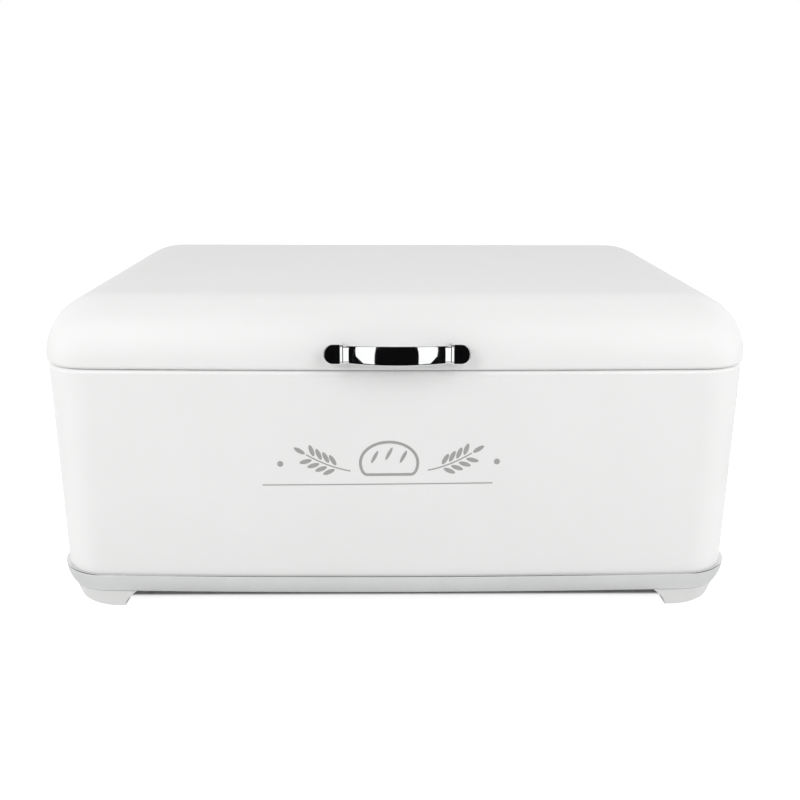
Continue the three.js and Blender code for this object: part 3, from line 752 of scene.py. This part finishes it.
def handle_strap():
    """The bow: its section is square to its arc, bulges a little and is tallest in its middle."""
    half = HANDLE_HIGH.x - END_WIDTH + FIT
    sagitta = HANDLE_REACH - STRAP_REACH
    radius = (half**2 + sagitta**2) / (2 * sagitta)
    sweep = asin(half / radius)
    rings = []
    for turn in between(-sweep, sweep, STRAP_STEPS):
        middle = cos(turn / sweep * pi / 2)
        tall = (STRAP_HEIGHT + STRAP_CROWN * middle) / 2
        section = rounded((radius - STRAP_SHEET, -tall), (radius, tall), [STRAP_CORNER] * 4)
        face = tall - STRAP_CORNER
        front = [(radius, z) for z in between(-face, face, BULGE_STEPS)[1:-1]]
        section[ROLL_STEPS + 1 : ROLL_STEPS + 1] = front
        ring = []
        for r, z in section:
            if r > radius - STRAP_SHEET / 2:
                r -= STRAP_BULGE * (z / tall) ** 2
            place = Vector((r * sin(turn), radius - HANDLE_REACH - r * cos(turn), z))
            ring.append(place - Vector((0, 0, STRAP_SAG * middle)))
        rings.append(ring)
    return loft(rings), radius


def handle():
    """One bow casting with domed ends, thin collars and fluted necks."""
    strap, radius = handle_strap()
    parts = [strap]
    collar_x = HANDLE_HIGH.x - END_WIDTH
    groove_x = collar_x - COLLAR_WIDTH
    neck_x = groove_x - GROOVE_WIDTH
    strap_x = neck_x - NECK_WIDTH
    neck_reach = HANDLE_REACH - radius + sqrt(radius**2 - strap_x**2)
    for _, side in SIDES:
        parts.append(handle_end(side))
        collar = ((groove_x, END_REACH - COLLAR_SLOPE), (collar_x + FIT, END_REACH))
        parts.append(handle_block(side, collar, END_HEIGHT + 2 * COLLAR_PROUD, COLLAR_CORNER, SMALL_EDGE))
        neck = ((strap_x, neck_reach), (neck_x, neck_reach - NECK_SLOPE))
        parts.append(handle_block(side, neck, NECK_HEIGHT, NECK_CORNER, NECK_EDGE))
    bm = united(parts)
    bm.transform(SEAT)
    finished("bow_handle", bm, BRIGHT_CHROME, "lid", ["handle"])


# Screws, rivets, hinges and buffers

# A cross recess's arms: their width by half their thickness, and how far they narrow downwards
CROSS_SLIMNESS = 9
CROSS_TAPER = 0.55


def cross_recess(width, depth, top):
    """Cutters of a cross recess below top, in a screw whose head points up."""
    bm = bmesh.new()
    half, thick = width / 2, width / CROSS_SLIMNESS
    for turn in (0, pi / 2):
        rings = []
        for reach, z in ((half * CROSS_TAPER, top - depth), (half, top + depth)):
            ring = [(reach, thick, z), (reach, -thick, z), (-reach, -thick, z), (-reach, thick, z)]
            rings.append([Matrix.Rotation(turn, 4, "Z") @ Vector(point) for point in ring])
        loft(rings, bm=bm)
    return bm


def dome(radius, height, start):
    """A quarter-ellipse profile above start, from its rim to the axis."""
    rim = [(radius * cos(a), start + height * sin(a)) for a in ROLL[:-1]]
    return [*rim, (0, start + height)]


PAN_HEAD_HEIGHT = 1.4 * MM
PAN_SHANK = 1.6 * MM
# Its point as radii and heights by the screw's radius, its recess by the head's radius and height
PAN_POINT = ((0.3, 0.2), (1, 1.5))
PAN_RECESS_WIDTH = 0.95
PAN_RECESS_DEPTH = 0.6


def floor_screw(place):
    """A domed screw with a cross recess that holds the pan."""
    node = f"floor_screw_{place}"
    low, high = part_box(node)
    middle, head = (low + high) / 2, (high.x - low.x) / 2
    radius, seat = PAN_SHANK, high.z - PAN_HEAD_HEIGHT
    point = [(radius * across, low.z + radius * up) for across, up in PAN_POINT]
    bm = turned([(0, low.z), *point, (radius, seat), *dome(head, PAN_HEAD_HEIGHT, seat)])
    bm = carved(bm, cross_recess(PAN_RECESS_WIDTH * head, PAN_RECESS_DEPTH * PAN_HEAD_HEIGHT, high.z))
    bm.transform(Matrix.Translation((middle.x, middle.y, 0)))
    finished(f"pan_screw_{place}", bm, ZINC, "box", [node])


BOW_SHANK = 1.9 * MM
BOW_DEPTH = 6 * MM
BOW_HEAD = 3.6 * MM
BOW_HEAD_HEIGHT = 2.2 * MM
BOW_STEPS = 6
WASHER_RADIUS = 5 * MM
WASHER_SHEET = 1 * MM
WASHER_FACE = SHEET + 2 * FIT


def handle_fastening(name, side):
    """The pan-head screw and the washer behind one end of the handle, inside the lid."""
    back = WASHER_FACE + WASHER_SHEET
    head, edge = back + FIT, BOW_HEAD_HEIGHT / 2
    top = head + BOW_HEAD_HEIGHT
    profile = [(0, -BOW_DEPTH), (BOW_SHANK, -BOW_DEPTH), (BOW_SHANK, head), (BOW_HEAD, head)]
    for a in quarter(BOW_STEPS):
        profile.append((BOW_HEAD - edge * (1 - cos(a)), top - edge * (1 - sin(a))))
    screw = carved(turned([*profile, (0, top)]), cross_recess(BOW_HEAD, edge, top))
    place = SEAT @ Matrix.Translation((side * END_X, 0, 0)) @ Matrix.Rotation(-pi / 2, 4, "X")
    screw.transform(place)
    finished(f"bow_screw_{name}", screw, ZINC, "lid", [f"handle_screw_{name}"])
    washer = chamfered_ring(BOW_SHANK + FIT, WASHER_RADIUS, WASHER_FACE, back, WASHER_SHEET / 6)
    washer.transform(place)
    finished(f"bow_washer_{name}", washer, ZINC, "lid", [f"handle_washer_{name}"])


LEAF_SHEET = 1.2 * MM
LEAF_CORNER = 3 * MM
LEAF_SMALL_CORNER = 0.3 * MM
# The body leaf's bend: its share of the tube, its start in its own radii and its end in degrees
BEND_SHORT = 0.75
BEND_START = 2.4
BEND_END = 60
# How far the lid leaf has come in towards the pin beside the tube's top
LEAF_EASE = 0.93
KNUCKLE_BORE = 1.5 * MM
KNUCKLE_RADIUS = 2.5 * MM
MIDDLE_KNUCKLE = 18 * MM
HEEL_REACH = 6 * MM
OPEN_ANGLE = 105
PIN_RADIUS = 1.2 * MM
PIN_HEAD = 1 * MM
PIN_DOME = 0.6


def leaf_plate(width, wall, bottom, top, round_top):
    """A flat leaf against a wall, two of its corners rounded."""
    low, high = (LEAF_SMALL_CORNER, LEAF_CORNER) if round_top else (LEAF_CORNER, LEAF_SMALL_CORNER)
    section = rounded((-width / 2, bottom), (width / 2, top), [low, high, high, low])
    bm = loft([[(x, y, z) for x, z in section] for y in (wall + LEAF_SHEET, wall)])
    bevel_sharp(bm, SMALL_EDGE)
    return bm


def bent_strip(path, thickness, start, end):
    """A strip of sheet along X from start to end, bent as path says in (y, z)."""
    outer, inner = [], []
    for i, (y, z) in enumerate(path):
        before, after = path[max(i - 1, 0)], path[min(i + 1, len(path) - 1)]
        along = Vector((after[0] - before[0], after[1] - before[1])).normalized() * (thickness / 2)
        outer.append((y - along.y, z + along.x))
        inner.append((y + along.y, z - along.x))
    section = outer + inner[::-1]
    return loft([[(x, y, z) for y, z in section] for x in (start, end)])


def arc_points(centre, radius, start, end, steps=BEND_STEPS):
    """Points of an arc between two angles in degrees."""
    turns = between(radians(start), radians(end), steps)
    return [(centre[0] + radius * cos(t), centre[1] + radius * sin(t)) for t in turns]


def knuckle(start, end):
    """A tube round the pin along X."""
    bm = chamfered_ring(KNUCKLE_BORE, KNUCKLE_RADIUS, start, end, SMALL_EDGE)
    bm.transform(Matrix.Rotation(pi / 2, 4, "Y"))
    return bm


def hinge(name):
    """Both leaves and the pin of one hinge, drawn from the pin's middle."""
    pin_low, pin_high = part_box(f"hinge_pin_{name}")
    body_low, body_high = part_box(f"hinge_body_leaf_{name}")
    lid_low, lid_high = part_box(f"hinge_lid_leaf_{name}")
    pin = (pin_low + pin_high) / 2
    width = body_high.x - body_low.x
    mid_radius, sheet = (KNUCKLE_BORE + KNUCKLE_RADIUS) / 2, KNUCKLE_RADIUS - KNUCKLE_BORE

    def placed(piece, bm, body, node):
        bm.transform(Matrix.Translation(pin))
        finished(f"{piece}_{name}", bm, HINGE_STEEL, body, [f"hinge_{node}_{name}"])

    # Body leaf: bent out under the pin and round it, at both ends
    wall = body_low.y - pin.y
    plate_top = -KNUCKLE_BORE - FIT
    parts = [leaf_plate(width, wall, body_low.z - pin.z, plate_top - 2 * FIT, round_top=False)]
    run = wall + LEAF_SHEET / 2
    bend = -run - mid_radius * BEND_SHORT
    path = [(run, -BEND_START * bend - mid_radius)]
    path += arc_points((run + bend, -mid_radius - bend), bend, 180, 90, ROLL_STEPS)
    path += arc_points((0, 0), mid_radius, -90, BEND_END)
    for at in (-1, 1):
        ends = sorted((at * MIDDLE_KNUCKLE / 2, at * width / 2))
        parts += [bent_strip(path, sheet, *ends), knuckle(*ends)]
    placed("leaf_box", united(parts), "box", "body_leaf")

    # Lid leaf: comes down to the pin in the middle, and runs on under it as the heel that stops the lid
    wall = lid_low.y - pin.y
    half = MIDDLE_KNUCKLE / 2 - FIT
    parts = [leaf_plate(width, wall, KNUCKLE_RADIUS + 2 * FIT, lid_high.z - pin.z, round_top=True)]
    run = wall + LEAF_SHEET / 2
    end = 180 + OPEN_ANGLE
    heel = arc_points((0, 0), mid_radius, 180, end)
    tip = radians(end)
    heel.append((heel[-1][0] - HEEL_REACH * sin(tip), heel[-1][1] + HEEL_REACH * cos(tip)))
    path = [(run, 2 * KNUCKLE_RADIUS), (run, KNUCKLE_RADIUS), (run * LEAF_EASE, KNUCKLE_RADIUS / 2), *heel]
    parts += [bent_strip(path, sheet, -half, half), knuckle(-half, half)]
    placed("leaf_lid", united(parts), "lid", "lid_leaf")

    # Pin with a domed head at each end
    head, neck = (pin_high.z - pin_low.z) / 2, pin_high.x - pin.x - PIN_HEAD
    crown = dome(head, PIN_HEAD * PIN_DOME, neck + PIN_HEAD * (1 - PIN_DOME))
    right = [(PIN_RADIUS, neck), (head, neck), *crown]
    left = [(r, -z) for r, z in reversed(right)]
    placed("pin", turned(left + right, axis="X"), "box", "pin")


RIVET_HEAD = 3.2 * MM
RIVET_HEIGHT = 1.4 * MM
RIVET_RADIUS = 1.5 * MM
RIVET_TAIL = 2.6 * MM
RIVET_TAIL_RISE = 1 * MM
# The share of the head's height that is domed, and the tail's edge by its radius and height
RIVET_DOME = 0.85
RIVET_TAIL_EDGE = (0.8, 0.3)


def rivet(hinge_name, which, name):
    """A domed rivet through a leaf and the sheet behind it."""
    node = f"hinge_{which}_rivet_{hinge_name}_{name}"
    low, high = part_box(node)
    seat, set_face = high.y - RIVET_HEIGHT, low.y + RIVET_TAIL_RISE
    flat, rise = RIVET_TAIL * RIVET_TAIL_EDGE[0], RIVET_TAIL_RISE * RIVET_TAIL_EDGE[1]
    domed = RIVET_HEIGHT * RIVET_DOME
    profile = [(0, low.y), (flat, low.y), (RIVET_TAIL, low.y + rise), (RIVET_TAIL, set_face)]
    profile += [(RIVET_RADIUS, set_face), (RIVET_RADIUS, seat), (RIVET_HEAD, seat)]
    profile += dome(RIVET_HEAD, domed, high.y - domed)
    middle = (low + high) / 2
    bm = turned(profile, (middle.x, 0, middle.z), "Y")
    body = "box" if which == "body" else "lid"
    finished(f"rivet_{which}_{hinge_name}_{name}", bm, ZINC, body, [node])


BUFFER_STEM = 1.2 * MM
BUFFER_TAIL = 0.8 * BUFFER_STEM
BUFFER_BULB = 1.8 * MM


def bumper(place):
    """A small rubber buffer in the rim, with a bulb below it."""
    node = f"lid_bumper_{place}"
    low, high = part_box(node)
    middle, head = (low + high) / 2, (high.x - low.x) / 2
    rim, top = WALL_HIGH.z - RIM_DROP, LID_LOW.z - LID_DROP - FIT / 4
    under = rim - SHEET - FIT
    profile = [(0, low.z), (BUFFER_TAIL, low.z), (BUFFER_STEM, low.z + SMALL_EDGE)]
    profile += [(BUFFER_BULB, under - BUFFER_BULB + BUFFER_STEM), (BUFFER_BULB, under - SMALL_EDGE)]
    profile += [(BUFFER_STEM, under), (BUFFER_STEM, rim), (head, rim), (head, top - SMALL_EDGE)]
    profile += [(head - SMALL_EDGE, top), (0, top)]
    bm = turned(profile, (middle.x, middle.y, 0))
    finished(f"buffer_{place}", bm, RUBBER, "box", [node])


# Print on the body's front. Its sizes are in millimetres from its middle, x to the right and z up.

PRINT_AT = Vector((-4.5, 100.85))
PRINT_TILT = Matrix.Rotation(radians(0.55), 2)
PRINT_PROUD = 0.05 * MM
PRINT_SUNK = 0.3 * MM
LOAF_HALF = 17
LOAF_TOP = 10.5
LOAF_SIDE = -2.5
LOAF_FOOT = -10
LOAF_FOOT_INSET = 4
LOAF_LINE = 1.7
SLASH_PLACES = ((-8.5, 1.2), (0, 3.2), (8.5, 1.2))
SLASH_SIZE = (9, 2)
SLASH_TURN = radians(62)
STEM_START = Vector((23, -7.5))
STEM_END = Vector((49, 3))
STEM_BEND = 1.4
STEM_WIDTH = 0.8
GRAIN_SIZE = (7.6, 2.7)
GRAIN_TURN = radians(42)
GRAIN_GAP = 0.8
GRAIN_PLACES = (0.32, 0.49, 0.66, 0.83)
DOT_PLACES = (Vector((-64.5, -2.7)), Vector((64, -2.5)))
DOT_WIDTH = 3.6
UNDERLINE = (Vector((-75.6, -16.1)), Vector((61.6, -16.1)))
UNDERLINE_WIDTH = 0.75
# How a shape swells: the lower, the blunter its ends. 0.5 is an ellipse.
POINTED = 0.6
ROUND = 0.5
LEAST_SWELL = 0.002
NEARBY = 0.02
PRINT_STEPS = 16
DOT_STEPS = 24
UNDERLINE_STEPS = 48


def on_front(place, proud):
    """A place of the print on the body's front."""
    at = (PRINT_AT + PRINT_TILT @ Vector(place)) * MM
    return Vector((at.x, wall_front_at(at.x) - proud, at.y))


def ribbon(bm, path, widths, closed=False):
    """A printed line along a path, with its own width at each point."""
    rings = []
    last = len(path) - 1
    for i, (point, width) in enumerate(zip(path, widths)):
        before = path[i - 1] if i or closed else point
        after = path[(i + 1) % len(path)] if i < last or closed else point
        along = (after - before).normalized() * (width / 2)
        edges = [point + Vector((-along.y, along.x)), point - Vector((-along.y, along.x))]
        front = [on_front(edge, PRINT_PROUD) for edge in edges]
        rings.append([*front, *[on_front(edge, -PRINT_SUNK) for edge in reversed(edges)]])
    loft(rings, closed, bm)


def lens(bm, start, end, width, power=POINTED, steps=PRINT_STEPS):
    """A printed shape between two points that swells to width in its middle."""
    swell = [max(1 - (2 * s - 1) ** 2, LEAST_SWELL) ** power for s in shares(steps)]
    ribbon(bm, [start.lerp(end, s) for s in shares(steps)], [width * s for s in swell])


def wheat_ear(bm, side):
    """An ear of wheat whose stem starts beside the loaf."""

    def stem_at(share):
        x, z = STEM_START.lerp(STEM_END, share)
        return Vector((x, z - STEM_BEND * 4 * share * (1 - share)))

    def mirrored(point):
        return Vector((side * point.x, point.y))

    def grain(share, turn):
        heading = (stem_at(share + NEARBY) - stem_at(share - NEARBY)).normalized()
        lean = Matrix.Rotation(turn, 2) @ heading
        away = Vector((-heading.y, heading.x)) * (copysign(GRAIN_GAP, turn) if turn else 0)
        start = stem_at(share) + away + lean * GRAIN_GAP
        lens(bm, mirrored(start), mirrored(start + lean * GRAIN_SIZE[0]), GRAIN_SIZE[1])

    ribbon(bm, [mirrored(stem_at(s)) for s in shares(CORNER_STEPS)], [STEM_WIDTH] * (CORNER_STEPS + 1))
    for share in GRAIN_PLACES:
        grain(share, GRAIN_TURN)
        grain(share, -GRAIN_TURN)
    grain(1.0, 0.0)


def front_print():
    """A loaf between two ears of wheat, two dots and an underline."""
    bm = bmesh.new()
    foot_half = LOAF_HALF - LOAF_FOOT_INSET
    rise, drop = LOAF_TOP - LOAF_SIDE, LOAF_SIDE - LOAF_FOOT
    half = [(LOAF_HALF * cos(a), LOAF_SIDE + rise * sin(a)) for a in quarter(PRINT_STEPS)]
    for a in ROLL[1:]:
        half.insert(0, (foot_half + LOAF_FOOT_INSET * cos(a), LOAF_SIDE - drop * sin(a)))
    loaf = [Vector(p) for p in half] + [Vector((-x, z)) for x, z in reversed(half[:-1])]
    ribbon(bm, loaf, [LOAF_LINE] * len(loaf), closed=True)
    length, width = SLASH_SIZE
    along = Vector((cos(SLASH_TURN), sin(SLASH_TURN))) * length / 2
    for middle in SLASH_PLACES:
        lens(bm, Vector(middle) - along, Vector(middle) + along, width)
    for _, side in SIDES:
        wheat_ear(bm, side)
    reach = Vector((DOT_WIDTH / 2, 0))
    for place in DOT_PLACES:
        lens(bm, place - reach, place + reach, DOT_WIDTH, ROUND, DOT_STEPS)
    line = [UNDERLINE[0].lerp(UNDERLINE[1], s) for s in shares(UNDERLINE_STEPS)]
    ribbon(bm, line, [UNDERLINE_WIDTH] * len(line))
    finished("front_print", bm, PRINT, "box")


body_wall()
floor_pan()
trim_band()
base_ring()
lid_shell()
handle()
front_print()
for corner_name, corner_x, corner_y in CORNERS:
    foot(corner_name, corner_x, corner_y)
    for piece_at in (foot_pad, floor_screw, bumper):
        piece_at(corner_name)
for side_name, side_x in SIDES:
    handle_fastening(side_name, side_x)
    hinge(side_name)
    for which_leaf in ("body", "lid"):
        for rivet_name, _ in SIDES:
            rivet(side_name, which_leaf, rivet_name)


# Camera: fitted to the outline in the photograph

CAMERA_AT = Vector((-5.19, -634.28, 296.64)) * MM
CAMERA_PITCH = radians(-17.12)
CAMERA_YAW = radians(-0.78)
CAMERA_ROLL = radians(0.21)
FOCAL_PIXELS = 932.86
PHOTO_PIXELS = 800
SENSOR_WIDTH = 36
CLIP = (0.01, 100)


def camera():
    data = bpy.data.cameras.new("camera")
    data.sensor_width = SENSOR_WIDTH
    data.lens = FOCAL_PIXELS / PHOTO_PIXELS * SENSOR_WIDTH
    data.clip_start, data.clip_end = CLIP
    place = Matrix.Translation(CAMERA_AT)
    for angle, axis in ((CAMERA_YAW, "Z"), (pi / 2 + CAMERA_PITCH, "X"), (CAMERA_ROLL, "Z")):
        place = place @ Matrix.Rotation(angle, 4, axis)
    view = linked("camera", data)
    view.matrix_world = place
    bpy.context.scene.camera = view


camera()

# Stage

AMBIENT = 0.5
WHITE = (1, 1, 1, 1)
FLOOR_RADIUS = 6.0
FLOOR_COLOR = (0.7, 0.7, 0.7, 1)
FLOOR_LIFT = 0.8
REFLECTED_LIFT = 0.2
SHADE_INSET = 22 * MM
SHADE_SOFT = 3 * MM

# Dark flags round the handle, in metres and degrees. Azimuth 0 is in front, 90 to the right.
FLAG_CENTRE = Vector((0, -0.125, 0.167))
FLAG_RADIUS = 0.95
FLAG_FOOT = -12
FLAG_TOP = 90
FLAG_BACK = 110
FLAG_COLOR = (0.004, 0.004, 0.0045, 1)
WINDOW_AZIMUTHS = (25, 50)
WINDOW_TOP = 40
WINDOW_EDGE = ((37, -12), (46.5, 1), (49.3, 15), (49.3, 40))
WINDOW_MASK = 0.99
WINDOW_GLOW = 1.15
CARD_START = 0.42
CARD_LEVEL = 0.001

# What the softboxes are aimed at
LAMP_AIM = Vector((0, 0, 0.1))


def towards(azimuth, elevation):
    """The direction from the object to a place on the stage."""
    a, e = radians(azimuth), radians(elevation)
    return Vector((sin(a) * cos(e), -cos(a) * cos(e), sin(e)))


def any_ray(nodes, *kinds):
    """A value that is 1 for rays of any of the kinds."""
    path = nodes.add("LightPath", {})
    value = path[kinds[0]]
    for kind in kinds[1:]:
        value = nodes.calc("MAXIMUM", value, path[kind])
    return value


def world():
    """White behind the object and in reflections, a dimmer even light on the object."""
    bpy.context.scene.world = bpy.data.worlds.new("studio")
    nodes = Nodes(bpy.context.scene.world)
    nodes.tree.nodes.clear()
    seen = any_ray(nodes, "Is Camera Ray", "Is Glossy Ray", "Is Transmission Ray")
    dim = nodes.add("Background", {"Color": WHITE, "Strength": AMBIENT})[0]
    bright = nodes.add("Background", {"Color": WHITE, "Strength": 1.0})[0]
    mix = nodes.add("MixShader", {"Fac": seen, 1: dim, 2: bright})[0]
    nodes.add("OutputWorld", {"Surface": mix})


def staged(name, bm):
    """A piece of the stage and the nodes of its material, which are none yet."""
    piece = object_of(name, bm)
    material = bpy.data.materials.new(name)
    piece.data.materials.append(material)
    nodes = Nodes(material)
    nodes.tree.nodes.clear()
    return piece, nodes


def open_floor(nodes):
    """The floor's lift for the camera: none well under the box, where its own shadow shows."""
    place = nodes.add("SeparateXYZ", {0: nodes.place()})
    outside = []
    for axis, low, high in (("X", WALL_LOW.x, WALL_HIGH.x), ("Y", WALL_LOW.y, WALL_HIGH.y)):
        reach = (high - low) / 2 - SHADE_INSET
        distance = nodes.calc("ABSOLUTE", nodes.calc("SUBTRACT", place[axis], (low + high) / 2))
        outside.append(nodes.ranged(distance, 0, 1, (reach, reach + SHADE_SOFT)))
    return nodes.calc("MULTIPLY", nodes.calc("MAXIMUM", *outside), FLOOR_LIFT)


def floor():
    """A pale floor that shows nearly white and keeps the object's soft shadow."""
    bm = bmesh.new()
    bmesh.ops.create_circle(bm, cap_ends=True, segments=FLOOR_SIDES, radius=FLOOR_RADIUS)
    _, nodes = staged("pale_floor", bm)
    shown = nodes.calc("MULTIPLY", any_ray(nodes, "Is Camera Ray"), open_floor(nodes))
    reflected = any_ray(nodes, "Is Glossy Ray", "Is Transmission Ray")
    lift = nodes.calc("MULTIPLY_ADD", reflected, REFLECTED_LIFT, shown)
    glow = nodes.add("Emission", {"Strength": lift})[0]
    matte = nodes.add("BsdfDiffuse", {"Color": FLOOR_COLOR})[0]
    both = nodes.add("AddShader", {0: matte, 1: glow})[0]
    nodes.add("OutputMaterial", {"Surface": both})


def reflected_only(name, bm, color, strength=1.0):
    """A glowing piece of the stage that only reflections see."""
    piece, nodes = staged(name, bm)
    piece.visible_camera = piece.visible_diffuse = piece.visible_shadow = False
    piece.visible_transmission = piece.visible_volume_scatter = False
    glow = nodes.add("Emission", {"Color": color, "Strength": strength})[0]
    nodes.add("OutputMaterial", {"Surface": glow})


def flags():
    """A dark dome with a bright window on each side, and a dark card on the floor."""

    def on_dome(azimuth, elevation):
        return FLAG_CENTRE + towards(azimuth, elevation) * FLAG_RADIUS

    def on_floor(azimuth, reach):
        place = FLAG_CENTRE + towards(azimuth, 0) * reach
        return Vector((place.x, place.y, CARD_LEVEL))

    def sheet(bm, rows):
        rows = [[bm.verts.new(point) for point in row] for row in rows]
        for row, following in zip(rows, rows[1:]):
            for i in range(len(row) - 1):
                bm.faces.new((row[i], following[i], following[i + 1], row[i + 1]))

    def panel(bm, place, azimuths, others):
        columns = between(*others, ROLL_STEPS)
        sheet(bm, [[place(a, other) for other in columns] for a in between(*azimuths, CORNER_STEPS)])

    dark, bright = bmesh.new(), bmesh.new()
    inner, outer = WINDOW_AZIMUTHS
    panel(dark, on_dome, (-inner, inner), (FLAG_FOOT, FLAG_TOP))
    panel(dark, on_floor, (-FLAG_BACK, FLAG_BACK), (CARD_START, FLOOR_RADIUS))
    for _, side in SIDES:
        panel(dark, on_dome, (side * inner, side * outer), (WINDOW_TOP, FLAG_TOP))
        panel(dark, on_dome, (side * outer, side * FLAG_BACK), (FLAG_FOOT, FLAG_TOP))
        panel(bright, on_dome, (side * inner, side * outer), (FLAG_FOOT, WINDOW_TOP))
        # A dark mask just in front of the window gives it its slanting edge
        mask = [(on_dome(side * edge, height), on_dome(side * outer, height)) for edge, height in WINDOW_EDGE]
        sheet(dark, [[FLAG_CENTRE.lerp(point, WINDOW_MASK) for point in row] for row in mask])
    reflected_only("dark_flags", dark, FLAG_COLOR)
    reflected_only("bright_windows", bright, WHITE, WINDOW_GLOW)


def lamp(name, azimuth, elevation, distance, size, watts, reflected=True):
    """A softbox aimed at the object."""
    data = bpy.data.lights.new(name, "AREA")
    data.shape = "RECTANGLE"
    data.size, data.size_y = size
    data.energy = watts
    out = towards(azimuth, elevation)
    light = linked(name, data)
    light.location = LAMP_AIM + out * distance
    light.rotation_euler = out.to_track_quat("Z", "Y").to_euler()
    light.visible_glossy = reflected


def lamps():
    """Softboxes: two in front, a low one on each side, one behind that lights the lid's edge."""
    front = {"elevation": 33, "distance": 1.1, "size": (0.45, 0.6), "watts": 2.6}
    low = {"elevation": 5, "distance": 0.9, "size": (0.5, 0.6), "watts": 2.45, "reflected": False}
    back = {"elevation": 60, "distance": 1.2, "size": (1.0, 0.6), "watts": 1.3, "reflected": False}
    for name, side in SIDES:
        lamp(f"front_softbox_{name}", side * 35, **front)
        lamp(f"side_softbox_{name}", side * 75, **low)
    lamp("back_softbox", 180, **back)


world()
floor()
flags()
lamps()

bpy.context.scene.view_settings.view_transform = "Standard"
